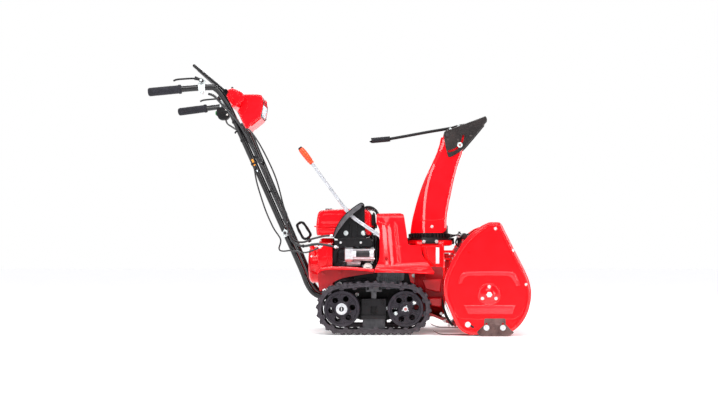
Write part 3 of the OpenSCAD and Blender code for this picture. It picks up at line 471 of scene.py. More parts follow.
def at(s, r):
    """Point on the loop at path length s and radius r, with the outward direction."""
    a = 89 * pi
    t = s % LEN
    if t < SPAN:
        return V((RX + t, 0, AZ - r)), V((0, 0, -1))
    if t < SPAN + a:
        g = -pi / 2 + pi * (t - SPAN) / a
        d = V((math.cos(g), 0, math.sin(g)))
        return V((FX, 0, AZ)) + d * r, d
    if t < 2 * SPAN + a:
        x = FX - (t - SPAN - a)
        sl = 10 * pi / SPAN * math.cos(pi * (x - RX) / SPAN) if rise(x) > 0 else 0
        d = V((-sl, 0, 1)).normalized()
        return V((x, 0, AZ + rise(x))) + d * r, d
    g = pi / 2 + pi * (t - 2 * SPAN - a) / a
    d = V((math.cos(g), 0, math.sin(g)))
    return V((RX, 0, AZ)) + d * r, d


for side, sg in (("right", -1), ("left", 1)):
    P = Piece("track_loop_" + side, TRACK)
    y0, y1 = 148.0, 246.0
    # band with rounded edges and a raised rib along each side
    sec = [(79.6, y0 + 1.5), (79, y0 + 4), (79.4, y0 + 9), (84, y0 + 13), (84, y1 - 13), (79.4, y1 - 9), (79, y1 - 4), (79.6, y1 - 1.5), (81, y1 - 0.2), (83.4, y1 - 1.6), (90, y1 - 1.6), (92, y1), (94.4, y1 - 0.6),
           (95, y1 - 4), (94, y1 - 9), (94, y0 + 9), (95, y0 + 4), (94.4, y0 + 0.6), (92, y0), (90, y0 + 1.6), (83.4, y0 + 1.6), (81, y0 + 0.2)]
    m = 240
    rings = []
    for i in range(m):
        s = LEN * i / m
        rings.append([(lambda q: (q.x, sg * yy, q.z))(at(s, r)[0]) for r, yy in sec])
    rings.append(rings[0])
    P.loft(rings, cap=(False, False))
    # tread lugs: stepped bars that lean back a little, thicker at the shoulders
    for i in range(36):
        s = LEN * i / 36
        o, d = at(s + 0, 92)
        t = V((-d.z, 0, d.x)) * -1 if False else V((d.z, 0, -d.x))
        t = V((-d.z, 0, d.x))
        def bar(ya, yb, w0, w1, h, lean=0.0, skew=0.0):
            v = []
            for yy, e in ((ya, 0.0), (yb, skew)):
                for hh, ww in ((-3, w0), (h * 0.45, (w0 + w1) / 2 + 0.4), (h - 1.2, w1 + 0.6), (h, w1 - 0.8)):
                    for q in (-ww, ww):
                        p = o + d * hh + t * (q + e + lean * hh)
                        v.append((p.x, sg * yy, p.z))
            f = [[0, 1, 9, 8]]
            for j in range(3):
                a = 2 * j
                f += [[a, a + 8, a + 10, a + 2], [a + 1, a + 3, a + 11, a + 9], [a, a + 2, a + 3, a + 1], [a + 8, a + 9, a + 11, a + 10]]
            f.append([6, 14, 15, 7])
            P.put(v, f)
        alt = 5 if i % 2 else -5
        bar(y0 + 0.6, y0 + 24, 6.4, 3.8, 9.6, 0.12)
        bar(y1 - 24, y1 - 0.6, 6.4, 3.8, 9.6, 0.12)
        bar(y0 + 22, (y0 + y1) / 2 + 1, 6.4, 4.4, 9, 0.1, alt)
        bar((y0 + y1) / 2 - 1, y1 - 22, 6.4, 4.4, 9, 0.1, -alt)
        # sidewall groove pads between the lugs
        o2, d2 = at(s + LEN / 72, 87)
        for yy in (y0 + 0.6, y1 - 0.6):
            o3 = V((o2.x, sg * yy, o2.z))
            P.lathe(o3, (0, sg if yy > 200 else -sg, 0), [(3.4, 0), (3.2, 0.5), (1.6, 0.6)], 12)
    # inner drive lugs in two rows: tapered teeth with rounded tips
    for i in range(18):
        o, d = at((2 * i + 0.5) * LEN / 36, 86)
        t = V((-d.z, 0, d.x))
        for ya in (y0 + 4, y1 - 22):
            rings = []
            for hh, ww, e in ((2, 13, 0), (-3, 12, 0), (-9, 9, 1), (-12.5, 7.2, 1.6), (-14, 5.2, 3)):
                rings.append([(lambda p: (p.x, sg * yy, p.z))(o + d * hh + t * q) for q, yy in
                              ((-ww, ya + e), (ww, ya + e), (ww, ya + 18 - e), (-ww, ya + 18 - e))])
            P.loft(rings)
    P.done("undercarriage", ["track_belt_" + side], bevel=0.9, seg=2, limit=38)

    # wheels: cast discs with a rim, six holes, ribs and a hub
    for kind, x0, hub, body in (("drive", RX, 26, "drive_" + side), ("idler", FX, 22, "idler_" + side)):
        P = Piece(kind + "_wheel_cast_" + side, WHEEL)
        for ya, yb in ((159, 151.5), (235, 242.4)):
            out = 1 if yb > 200 else -1
            holes = [circ(x0 + 41.5 * math.cos(math.radians(a + 8)), AZ + 41.5 * math.sin(math.radians(a + 8)), 11.5, 24) for a in range(0, 360, 60)]
            P.plate(circ(x0, AZ, 67, 72), holes + [circ(x0, AZ, 13, 32)], sg * min(ya, ya + out * 4), sg * max(ya, ya + out * 4))
            # rim ring, hole collars and radial ribs
            c = (x0, sg * ya, AZ)
            dd = (0, sg * out, 0)
            P.lathe(c, dd, [(57, 0.5), (58.5, 6), (60, 8.0), (65, 8.6), (68.6, 7.4), (70, 5.0), (70, 0), (62, -0.5)], 72, cap=(False, False))
            for a in range(0, 360, 60):
                g = math.radians(a + 8)
                cc = (x0 + 41.5 * math.cos(g), sg * ya, AZ + 41.5 * math.sin(g))
                P.lathe(cc, dd, [(11.5, 3), (11.6, 5.4), (12.6, 6), (13.8, 5.4), (14.4, 3.6)], 24, cap=(False, False))
                g += math.radians(30)
                u, w = V((math.cos(g), 0, math.sin(g))), V((-math.sin(g), 0, math.cos(g)))
                rr = [[V(c) + u * q + w * e + V(dd) * h for e, h in ((-3, 3.5), (-1.8, 6), (1.8, 6), (3, 3.5))] for q in (hub - 3, 59.5)]
                P.loft(rr)
            P.lathe(c, dd, [(hub + 5, 3.5), (hub + 3, 6.6), (hub, 8), (hub, 14 if out > 0 else 3), (hub - 2, 14.0 if out > 0 else 3)], 48, cap=(False, False))
        P.lathe((x0, sg * 159, AZ), (0, sg, 0), [(62, -1), (60.5, 4), (60.5, 72), (62, 77)], 72, cap=(False, False))
        P.lathe((x0, sg * 149.2, AZ), (0, sg, 0), [(12.1, 0), (hub - 1, 0), (hub, 1), (hub, 98.6), (hub - 1, 99.6), (12.1, 99.6)], 48, cap=(False, False))
        # silver reflections of small casting bosses, on the idler only
        if kind == "idler":
            P.mat(ZINC)
            for a in (6, 176):
                g = math.radians(a)
                P.bolt((x0 + 41.5 * math.cos(g + 0.5), sg * 238.8, AZ + 41.5 * math.sin(g + 0.5)), (0, sg, 0), 5.5, 5, 1.3)
        P.done(body, [kind + "_wheel_" + side], bevel=0.7, limit=40)
    # drive hub: half shaft with a slotted cap nut
    P = Piece("drive_hub_" + side, BRIGHT)
    P.lathe((RX, sg * 45, AZ), (0, sg, 0), [(20, -4), (20, 3.2), (19, 4), (12, 4), (12, 200)], 40)
    for a in range(6):
        g = a * pi / 3
        P.bolt((RX + 15.5 * math.cos(g), sg * 48.6, AZ + 15.5 * math.sin(g)), (0, sg, 0), 2.6, 3, 0)
    P.lathe((RX, sg * 249.2, AZ), (0, sg, 0), [(21.5, 0), (22, 0.6), (22, 1.6), (21, 2.2), (17.8, 2.2), (18, 3), (18, 5.4), (17, 6.6), (10.5, 6.9), (9.8, 6.2), (9.6, 3.2)], 48)
    P.mat(DARKS)
    P.lathe((RX, sg * 252, AZ), (0, sg, 0), [(9.4, 0), (9.4, 1.8), (8.8, 2.2), (2, 2.4)], 32)
    P.mat(BRIGHT)
    P.box((RX - 1.6, sg * 253.9 - 0.9, AZ - 6), (RX + 1.6, sg * 253.9 + 0.9, AZ + 6))
    P.done("drive_" + side, ["half_shaft_" + side], bevel=0.3, limit=45)

keep("front_axle", BRIGHT, 0.8)
keep("track_frames", BLACKS, 1.6)
keep("track_guides", SLIDE, 2.2)

P = Piece("undercarriage_hardware", ZINC)
for sg in (-1, 1):
    d = (0, sg, 0)
    # idler axle end: copper-toned centre bolt and keeper plate bolts
    P.mat(PINK)
    P.bolt((FX, sg * 253.2, AZ), d, 6.2, 3.6, 0)
    P.mat(WHEEL)
    P.lathe((FX, sg * 250, AZ), d, [(17, 0), (17, 2.2), (16.2, 3), (8, 3.2)], 40)
    P.mat(ZINC)
    for a in (70, 200, 330):
        g = math.radians(a)
        P.bolt((FX + 12.6 * math.cos(g), sg * 252.8, AZ + 12.6 * math.sin(g)), d, 2.4, 2.4, 0)
    # beam face: adjuster bolt, lock nut, inspection frame, weld beads
    P.mat(BLACKS)
    P.bolt((100, sg * 218, 122), d, 5, 4)
    P.bolt((166, sg * 218, 122), d, 5, 4)
    P.mat(BLACKS)
    P.tube([(120, sg * 218.4, 82), (144, sg * 218.4, 82), (144, sg * 218.4, 110), (120, sg * 218.4, 110), (120, sg * 218.4, 82)], 1.4, 8, 1, smooth=False)
    P.tube([(86, sg * 218, 138), (178, sg * 218, 138)], 2.2, 10, 8)
    # tension screw with its spring between beam and idler
    P.mat(BRIGHT)
    P.lathe((180, sg * 196, 102), (1, 0, 0), [(7, 0), (7, 10), (5, 10.5), (5, 42)], 20)
    P.mat(DARKS)
    hel = [(184 + 34 * i / 96, sg * 196 + 9 * math.cos(i * pi / 8), 102 + 9 * math.sin(i * pi / 8)) for i in range(97)]
    P.tube(hel, 1.5, 8, 1)
    # upper shoe bolts
    P.mat(BLACKS)
    for x in (108, 156):
        P.bolt((x, sg * 208.2, 180), d, 4.2, 4)
P.done("undercarriage", bevel=0.25, limit=45)

# ------------------------------------------------------------------ chassis: kept castings with added detail
keep("main_frame", BLACKS, 1.4)
keep("transmission_case", CAST, 1.8)
keep("engine_block", ENGD, 2.4)
keep("cylinder", CAST, 0.8)
keep("muffler", DARKS, 2.2)
keep("carburettor", CAST, 1.6)
keep("battery", BLACKPL, 1.6)
keep("crank_pulley", BRIGHT, 0.6)
keep("drive_belts", BELTR, 0.8)
keep("auger_gearbox", DARKS, 2.6)

P = Piece("chassis_details", CAST)
for sg in (-1, 1):
    # finned casting that shows between the cover and the track
    P.loft([[(x, sg * y, z) for x, z in ((140, 214), (148, 206), (238, 206), (250, 214), (252, 236), (244, 250), (160, 254), (142, 250))] for y in (96, 126)])
    P.loft([[(195 + (x - 195) * 0.94, sg * y, 230 + (z - 230) * 0.9) for x, z in ((140, 214), (148, 206), (238, 206), (250, 214), (252, 236), (244, 250), (160, 254), (142, 250))] for y in (126, 130)])
    for i in range(11):
        x = 150 + 8.6 * i
        P.loft([[(x + e, sg * y, z) for e, z in ((-1.3, 210), (1.3, 210), (1.3, 250), (-1.3, 250))] for y in (129, 138 - 0.1 * i)])
    P.lathe((238, sg * 108, 211), (-1, 0, 0), [(6, 0), (17, 1), (20, 4), (20, 16), (18, 18)], 36)
    P.box((160, min(sg * 131, sg * 136), 186), (222, max(sg * 131, sg * 136), 192), ch=0.6)
    P.mat(ZINC)
    for x, z in ((166, 187), (214, 187)):
        P.bolt((x, sg * 137, z + 1), (0, sg, 0), 3.4, 3)
    # frame bolts
    for x, z in ((-30, 154), (60, 154), (130, 154), (240, 154), (274, 154)):
        P.bolt((x, sg * 98, z), (0, sg, 0), 6, 4.6)
    P.mat(CAST)
P.mat(BLACKS)
for sg in (-1, 1):
    P.box((104, sg * 60 if sg > 0 else -124, 178), (152, 124 if sg > 0 else -60, 258), ch=2)
    P.box((246, sg * 60 if sg > 0 else -122, 178), (276, 122 if sg > 0 else -60, 246), ch=2)
    P.prism([(40, 262), (108, 258), (150, 250), (150, 224), (60, 216), (20, 236)], sg * 112 if sg > 0 else -126, sg * 126 if sg > 0 else -112, ch=1)
P.mat(BLACKPL)
P.loft([[(x, y * k, 322 + (z - 322) * k) for y, z in ((-82, 250), (-88, 262), (-88, 384), (-80, 394), (80, 394), (88, 384), (88, 262), (82, 250))] for x, k in ((111, 1), (128, 1), (149, 0.94))])
for z in (272, 290, 308, 326, 344, 362):
    P.box((112, -92, z), (147, -86, z + 5), ch=1)
P.mat(CABLE)
P.tube([(118, -94, 392), (126, -104, 380), (128, -106, 352), (122, -104, 318), (126, -98, 286), (134, -94, 262)], 3.4, 10)
P.tube([(134, -92, 396), (138, -102, 376), (136, -106, 340), (140, -102, 300), (138, -94, 268)], 2.8, 10)
P.tube([(112, -96, 270), (122, -104, 262), (136, -100, 264), (146, -92, 272)], 3.0, 10)
P.mat(ZINC)
for z in (281, 335, 371):
    P.bolt((120, -92, z), (0, -1, 0), 4, 4)
# engine side: crankcase cover with bolts and ribs, oil drain, wiring
P.mat(ENGD)
for z in range(206, 356, 14):
    P.box((-26, -86.5, z), (108, -83, z + 3), ch=0.8)
P.lathe((44, -83, 262), (0, -1, 0), [(46, 0), (46, 4), (43, 7), (36, 8.5), (20, 9), (19, 7), (8, 7)], 48)
P.mat(ZINC)
for i in range(8):
    g = i * pi / 4 + 0.2
    P.bolt((44 + 40 * math.cos(g), -90, 262 + 40 * math.sin(g)), (0, -1, 0), 3.2, 3.4)
P.bolt((-10, -92, 196), (0, -1, 0), 7, 6)
for x in (-28, 110):
    for y in (-78, 78):
        P.bolt((x, y, 186), (0, 0, 1), 5, 5)
P.mat(BLACKPL)
P.tube([(20, -100, 330), (2, -112, 338), (-14, -110, 330), (-20, -96, 306), (-22, -90, 280)], 3.2, 10)
P.tube([(14, -118, 300), (0, -124, 296), (-12, -112, 300), (-16, -96, 322)], 2.4, 10)
P.tube([(24, -124, 288), (6, -128, 280), (-8, -118, 272), (-14, -100, 262)], 2.2, 10)
# governor link and spring by the carburettor
P.mat(ZINC)
P.tube([(88, -112, 372), (96, -116, 380), (112, -112, 384)], 1.4, 8)
P.tube([(86 + 26 * i / 80, -108 + 3 * math.cos(i * pi / 5), 362 + 3 * math.sin(i * pi / 5)) for i in range(81)], 0.7, 6, 1)
P.mat(BLACKPL)
P.tube([(68, -112, 348), (84, -124, 336), (104, -126, 338), (122, -112, 352), (132, -100, 380)], 3.4, 10)
# air filter housing behind the tank, with louvre segments along its curved guard
P.mat(BLACKPL)
P.loft([[(x, y * w, z) for x, z in ((118, 470), (128, 486), (132, 440), (122, 400))] for y, w in ((-96, 1), (-90, 1), (90, 1), (96, 1))])
for i in range(7):
    y = -78 + 26 * i
    P.tube([(84, y, 499), (100, y, 506), (120, y, 504), (136, y, 492), (140, y, 478)], 3.6, 10, flat=(1, 1.4))
P.tube([(84, -84, 499), (100, -86, 506), (120, -86, 504), (138, -84, 490), (141, -80, 476)], 5, 12)
P.tube([(84, 84, 499), (100, 86, 506), (120, 86, 504), (138, 84, 490), (141, 80, 476)], 5, 12)
P.mat(SLIDE)
for i in range(5):
    P.box((92 + 9 * i, -92, 490), (97 + 9 * i, -84, 501 - i * 0.8), ch=0.8)
# battery lead, clamps and fuel hose on the left
P.mat(CABLE)
P.tube([(-6, 114, 246), (-10, 118, 262), (-30, 112, 300), (-40, 96, 330)], 3, 10)
P.tube([(70, 114, 246), (84, 112, 268), (110, 100, 300)], 3, 10)
P.tube([(100, 100, 389), (104, 104, 376), (86, 100, 368), (70, 92, 366)], 3.6, 10)
P.mat(ZINC)
for x in (-6, 70):
    P.bolt((x, 114, 246), (0, 0, 1), 4, 5)
P.done("chassis", bevel=0.5, limit=45)

# muffler guard
P = Piece("muffler_guard", DARKS)
for i in range(6):
    x = 11 + 16 * i
    P.tube([(x, 199, 384), (x, 200.5, 400), (x, 200.5, 444), (x, 199, 460)], 2.0, 8)
P.tube([(0, 199, 380), (110, 199, 380)], 2.4, 8, 6)
P.tube([(0, 199, 463), (110, 199, 463)], 2.4, 8, 6)
for x, z in ((2, 378), (106, 378), (2, 464), (106, 464)):
    P.mat(ZINC).bolt((x, 196, z), (0, 1, 0), 3.4, 4)
P.done("chassis", bevel=0)

# ------------------------------------------------------------------ fan cover and recoil starter
P = Piece("fan_shroud", RED_P)
prof = [(-38.5, 103), (-40, 104), (-84, 104), (-92, 101), (-96, 94), (-96.3, 80)]
P.lathe((0, 0, 279), (1, 0, 0), [(r, x) for x, r in prof] + [(50, -96.3), (50, -92), (76, -92), (92, -88), (98, -80), (98, -38.5)], 72, cap=(False, False))
P.loft([[(x, y, z) for y, z in ((-102, 268), (-104, 272), (-104, 352), (-98, 362), (98, 362), (104, 352), (104, 272), (102, 268))] for x in (-39, -88, -95)] +
       [[(-97, y * 0.95, z * 0.97 + 9) for y, z in ((-102, 268), (-104, 272), (-104, 352), (-98, 362), (98, 362), (104, 352), (104, 272), (102, 268))]])
# vertical strengthening rib and lower foot
P.box((-62, -106.5, 246), (-55, -100, 356), ch=1.5)
P.box((-80, -106, 300), (-44, -102.5, 308), ch=1.2)
P.mat(ZINC)
for z in (205, 352):
    P.bolt((-50, -104.6 if z > 300 else -75, z), (0, -1, 0), 5, 4)
P.bolt((-70, -100, 248), (0, -1, 0), 4, 3.4)
P.done("chassis", ["fan_cover"], bevel=2.0, seg=3, limit=40)

P = Piece("recoil_housing", RED_P)
P.lathe((0, 0, 275), (-1, 0, 0), [(74, 96.4), (76, 98), (76, 124), (74, 131), (69, 135.4), (62, 137)], 72, cap=(False, False))
P.lathe((0, 0, 275), (-1, 0, 0), [(30, 137.5), (29, 139), (20, 139.6), (4, 139.6)], 48)
# twelve louvre blades round the hub
for i in range(16):
    g = i * pi / 8
    u, w = V((0, math.cos(g), math.sin(g))), V((0, -math.sin(g), math.cos(g)))
    c = V((-137, 0, 275))
    P.loft([[c + u * q + w * (e + tw) + V((h, 0, 0)) for e, h in ((-3.2, -1.2), (3.2, 0.4), (3.4, 2.4), (-3.0, 1.0))] for q, tw in ((27, 0), (44, 1.5), (62, 4))])
P.lathe((0, 0, 275), (-1, 0, 0), [(62, 134), (60, 138.6), (56, 139.2), (53, 138)], 72, cap=(False, False))
P.tube([(-112, -58, 312), (-116, -60, 322), (-127.6, -65, 357.5)], lambda s: 11.2 - 1.8 * s, 20, 6)
P.mat(BLACKPL)
P.lathe((-124, 0, 275), (-1, 0, 0), [(64, 0), (30, 0.2), (6, 0.4)], 48)
P.lathe((-127.2, -64.9, 356.4), (-0.31, -0.11, 0.94), [(5.5, 0), (7.6, 0.4), (7.6, 2.0), (4.6, 3)], 20)
P.mat(ZINC)
for i in range(3):
    g = i * 2 * pi / 3 + 0.6
    P.bolt((-124, 72 * math.cos(g), 275 + 72 * math.sin(g)), (-1, 0, 0), 5, 5)
P.done("chassis", ["recoil_starter"], bevel=0.6, limit=40)

# ------------------------------------------------------------------ fuel tank: blended box of sections with a pressed seam
P = Piece("fuel_tank_shell", RED_TANK)
lower = [(-99, 391), (-102, 398), (-104, 424), (-103.5, 432), (-100, 462), (-97, 478), (-92, 487), (-83, 492.6), (-60, 495), (-24, 497),
         (30, 498), (76, 498), (98, 495), (110, 489), (117, 479), (120, 468), (121, 430), (121, 398), (119, 391), (60, 389.4), (-60, 389.4)]
cx, cz = 8, 440
rings = []
for y, k, e in ((-118, 0.90, 0), (-117.4, 0.935, 0), (-115, 0.965, 0), (-110, 0.985, 0), (-100, 0.997, 0), (-60, 1.0, 0), (0, 1.0, 0), (60, 1.0, 0),
                (100, 0.997, 0), (110, 0.985, 0), (115, 0.965, 0), (117.4, 0.935, 0), (118, 0.90, 0)):
    crown = 0
    rings.append([(cx + (x - cx) * (k if k < 1 else 1), y, cz + (z - cz) * (1 - (1 - k) * 1.25)) for x, z in lower])
P.loft(rings)
# seam flange: rounded rectangle, slightly bowed
def rrect(x0, x1, y0, y1, r, z, n=6):
    out = []
    for (cx_, cy_), a0 in (((x1 - r, y1 - r), 0), ((x0 + r, y1 - r), 90), ((x0 + r, y0 + r), 180), ((x1 - r, y0 + r), 270)):
        out += [(cx_ + r * math.cos(math.radians(a0 + 90 * i / n)), cy_ + r * math.sin(math.radians(a0 + 90 * i / n)), z) for i in range(n + 1)]
    return out
P.loft([rrect(-109, 126, -123, 123, 16, 424.6), rrect(-111, 128, -124.4, 124.4, 17, 425.6), rrect(-111, 128, -124.4, 124.4, 17, 428.6), rrect(-109, 126, -123, 123, 16, 429.6)])
for sg in (-1, 1):
    P.loft([[(x, sg * y, z) for x, z in ((-84 + e, 400 + e), (104 - e, 400 + e), (110 - e, 412), (106 - e, 420 - e), (-88 + e, 420 - e), (-92 + e, 412))] for y, e in ((112, 0), (118.6, 1), (119.8, 3))])
    P.loft([[(x, sg * y, z) for x, z in ((-86 + e, 436 + e), (104 - e, 436 + e), (108 - e, 462), (98 - e, 480 - e), (-70 + e, 480 - e), (-86 + e, 462))] for y, e in ((108, 0), (117.4, 1.5), (118.9, 5))])
# pressed panel line on each side and a neck for the cap
for sg in (-1, 1):
    P.tube([(-92, sg * 112.4, 482), (-60, sg * 113.4, 486.6), (20, sg * 113.6, 489), (90, sg * 113, 487), (108, sg * 112, 480)], 2.4, 10)
P.lathe((8, 30, 486), (0, 0, 1), [(36, 0), (34, 4), (30, 6), (26, 6.4), (24.6, 5)], 48, cap=(False, False))
P.mat(BLACKPL)
P.lathe((-60, -70, 494), (0, 0, 1), [(9, 0), (9, 4), (7.4, 6.4), (3, 7)], 28)
P.lathe((-46, -70, 494), (0, 0, 1), [(6, 0), (6, 5), (4, 7)], 24)
P.mat(ZINC)
for x in (-104, 121):
    for y in (-90, 90):
        P.bolt((x, y, 429.6), (0, 0, 1), 3.6, 3.4)
P.done("chassis", ["fuel_tank"], bevel=1.2, seg=2, limit=45, sharp=50)

P = Piece("fuel_cap_knob", BLACKPL)
P.lathe((8, 30, 474), (0, 0, 1), [(22, 0), (23.4, 1), (23.4, 14.4), (30, 14.6), (30.8, 16), (30.8, 26), (29, 28.4), (24, 29.2), (22, 28.2), (10, 28.2), (8, 29), (2, 29)], 60)
for i in range(24):
    g = i * pi / 12
    P.tube([(8 + 30.4 * math.cos(g), 30 + 30.4 * math.sin(g), 490), (8 + 30.4 * math.cos(g), 30 + 30.4 * math.sin(g), 501)], 1.3, 8, 1, smooth=False)
P.box((-12, 27, 501.5), (28, 33, 504.4), ch=1.2)
P.done("tank_cap", ["fuel_cap"], bevel=0.5, limit=45)

# ------------------------------------------------------------------ starter motor
P = Piece("starter_unit", BRIGHT)
P.lathe((46, -116, 315), (1, 0, 0), [(25, -1), (27, 1), (27, 68), (26.4, 69), (26.4, 71), (28.4, 72), (29, 74), (29, 82), (27, 84), (12, 84.4), (11, 83), (4, 83)], 56)
P.loft([[(x, -116 + a * k, 315 + b * k) for a, b in ((-30, -20), (-30, 20), (-20, 30), (22, 30), (30, 20), (30, -20), (22, -30), (-20, -30))] for x, k in ((14, 0.9), (16, 1), (42, 1), (46, 0.94))])
P.lathe((20, -104, 280), (1, 0, 0), [(10.6, 0), (12, 1), (12, 52), (11, 54), (5, 54.4), (5, 56)], 32)
for z in (297, 333):
    P.tube([(40, -141, z), (128, -141, z)], 1.7, 8, 2)
P.mat(DARKS)
# dark window strip on the side of the motor
rr = []
for x in (58, 60, 112, 114):
    e = 0.0 if x in (60, 112) else -0.8
    rr.append([(x, -116 - (27.5 + e) * math.cos(a), 315 + (27.5 + e) * math.sin(a)) for a in [(-0.42 + 0.12 * i) for i in range(9)]] +
              [(x, -116 - 25 * math.cos(a), 315 + 25 * math.sin(a)) for a in (0.54, -0.42)])
P.loft(rr)
P.mat(ZINC)
for z in (297, 333):
    P.bolt((129, -141 if z > 300 else -141, z), (1, 0, 0), 3.4, 4)
P.bolt((30, -146, 300), (0, -1, 0), 4.4, 4)
P.bolt((30, -146, 330), (0, -1, 0), 4.4, 4)
P.mat(BLACKPL)
P.lathe((76, -104, 280), (1, 0, 0), [(6, 0), (6, 6), (3, 8)], 20)
P.tube([(82, -104, 280), (94, -100, 286), (100, -92, 300), (92, -88, 330)], 3.2, 10)
P.done("chassis", ["starter_motor"], bevel=0.7, limit=42)

# oil filler cap with a finger rib
P = Piece("oil_filler_cap", WHITEP)
OD = V((8, -42, 16)).normalized()
OA = V((104, -112, 262))
P.lathe(OA, OD, [(7.6, -18), (8, -17), (8, 0.4), (16.6, 0.6), (18, 2), (18, 8.4), (16.6, 10), (9, 10.4), (8, 9.6), (3, 9.6)], 48)
for i in range(18):
    g = 2 * pi * i / 18
    u = OD.cross(V((0, 0, 1))).normalized()
    w = OD.cross(u)
    c = OA + (u * math.cos(g) + w * math.sin(g)) * 17.6
    P.tube([c + OD * 2.2, c + OD * 8.4], 1.2, 8, 1, smooth=False)
u = OD.cross(V((0, 0, 1))).normalized()
w = OD.cross(u)
P.loft([[OA + OD * h + u * a + w * b for a, b in ((-8, -2.6), (8, -2.6), (8, 2.6), (-8, 2.6))] for h in (9, 15.4)])
P.done("dipstick", ["oil_cap"], bevel=0.6, limit=45)

# ------------------------------------------------------------------ belt cover: pressed shell with facets, creases and a flared ledge
P = Piece("belt_cover_shell", RED)
cov = [(150, 475.5), (180, 477), (228, 479), (238, 478), (246, 474), (250, 466), (254, 439), (259, 412), (262, 386), (264, 358), (267, 353.5), (275, 352.4), (296, 351.4), (311, 349.6),
       (316.5, 345), (318, 336), (321, 316), (328, 303), (341, 286), (356, 264), (371, 242), (366, 240.4), (334, 236), (300, 241), (138, 261)]
# the near wall is a grid: bottom edge flares out, top leans in
def wall_y(x, z):
    y = 150.0
    if z < 300:
        t = min(max((300 - z) / 60, 0), 1)
        y = 149 + 1.0 * t
    t = max(0.0, (z - 440) / 40)
    y -= 7 * t * t
    return y
rows = []
prof_front = [(479, 244), (470, 250), (439, 254.5), (405, 260), (372, 263.5), (356, 265.5), (352, 273), (351, 296), (347, 315), (335, 318.4), (317, 321), (300, 330), (286, 341), (264, 356), (243, 371)]
prof_back = [(477, 142), (470, 140), (439, 140), (420, 150), (405, 153), (372, 153), (356, 153), (352, 153), (350, 153), (345, 153), (335, 153), (317, 153), (297, 152), (286, 148), (272, 142), (258, 134)]
def interp(tab, z):
    if z >= tab[0][0]:
        return tab[0][1]
    for (z0, x0), (z1, x1) in zip(tab, tab[1:]):
        if z1 <= z <= z0:
            return x0 + (x1 - x0) * (z0 - z) / (z0 - z1 + 1e-9)
    return tab[-1][1]
zs = [476, 472, 462, 450, 439, 428, 416, 405, 390, 372, 362, 356, 353.4, 352, 351, 348, 343, 335, 326, 317, 308, 300, 292, 286, 278, 271, 265, 260, 256, 252, 247, 243]
def xs_at(z):
    a = interp(prof_back, z)
    b = interp(prof_front, z)
    return a, b
NX = 40
grid = []
for z in zs:
    a, b = xs_at(z)
    row = []
    for i in range(NX + 1):
        s = i / NX
        x = a + (b - a) * s
        zz = z
        y = 146.0
        # bright vertical facet: a shallow ridge running down from the top left, with a crease beside it
        xr = 176 + (476 - z) * 0.085
        xc = 214 + (440 - z) * 0.10
        y += 8.0 * max(0.0, 1 - abs(x - xr) / 20.0) * min(1.0, (452 - z) / 20.0) if z < 452 else 0
        y -= 4.4 * max(0.0, 1 - abs(x - xc) / 6.0) if 280 < z < 430 else 0
        y += 2.4 * max(0.0, min(1, (x - xc) / 8.0)) if z < 440 else 0
        # sides lean in at the top and roll over
        t = max(0.0, (z - 455) / 21.0)
        y -= 5.5 * t * t
        # flare at the bottom towards the ledge
        f = max(0.0, min(1.0, (286 - z + 0.05 * (x - 250)) / 34.0))
        y += 42.0 * f * f * f
        row.append((x, y, zz))
    grid.append(row)
def sheet(P, g, th=3.0, mirror=True):
    """A skin from a grid with real thickness behind it (towards the centre plane)."""
    R, C = len(g), len(g[0])
    v = [p for r in g for p in r] + [(p[0], p[1] - th, p[2]) for r in g for p in r]
    n = R * C
    f = []
    for i in range(R - 1):
        for j in range(C - 1):
            a, b, c, d = i * C + j, i * C + j + 1, (i + 1) * C + j + 1, (i + 1) * C + j
            f += [[a, b, c, d], [a + n, d + n, c + n, b + n]]
    rim = [i * C for i in range(R)] + [(R - 1) * C + j for j in range(1, C)] + [i * C + C - 1 for i in range(R - 2, -1, -1)] + [j for j in range(C - 2, 0, -1)]
    for k in range(len(rim)):
        a, b = rim[k], rim[(k + 1) % len(rim)]
        f.append([a, b, b + n, a + n])
    P.put(v, f, mirror)
sheet(P, grid, 3.0)
# top, front and shoulder skins joining the two walls
def span_skin(pts, half, th, crown=0.0, n=16, gap_=0.0):
    rings = []
    out = []
    for x, z in pts:
        out.append([(x, -half + 2 * half * i / n, z + crown * (1 - (2 * i / n - 1) ** 2)) for i in range(n + 1)])
    R, C = len(out), n + 1
    v = [p for r in out for p in r]
    nn = R * C
    # inner copy pushed against the local normal
    inner = []
    for i in range(R):
        a, b = V(pts[max(i - 1, 0)]), V(pts[min(i + 1, R - 1)])
        d = (b - a).normalized()
        nx, nz = d.y, -d.x
        for j in range(C):
            p = out[i][j]
            inner.append((p[0] + nx * th, p[1], p[2] + nz * th))
    v += inner
    f = []
    for i in range(R - 1):
        for j in range(C - 1):
            a, b, c, d = i * C + j, i * C + j + 1, (i + 1) * C + j + 1, (i + 1) * C + j
            f += [[a, b, c, d], [a + nn, d + nn, c + nn, b + nn]]
    rim = [i * C for i in range(R)] + [(R - 1) * C + j for j in range(1, C)] + [i * C + C - 1 for i in range(R - 2, -1, -1)] + [j for j in range(C - 2, 0, -1)]
    for k in range(len(rim)):
        a, b = rim[k], rim[(k + 1) % len(rim)]
        f.append([a, b, b + nn, a + nn])
    return v, f
v, f = span_skin([(142, 472), (143, 475.6), (150, 477.4), (200, 478.6), (234, 479), (243, 476.6), (249, 470), (254.5, 439), (260, 405), (263.5, 372), (265.5, 356)], 143.5, 3.0)
P.put(v, f)
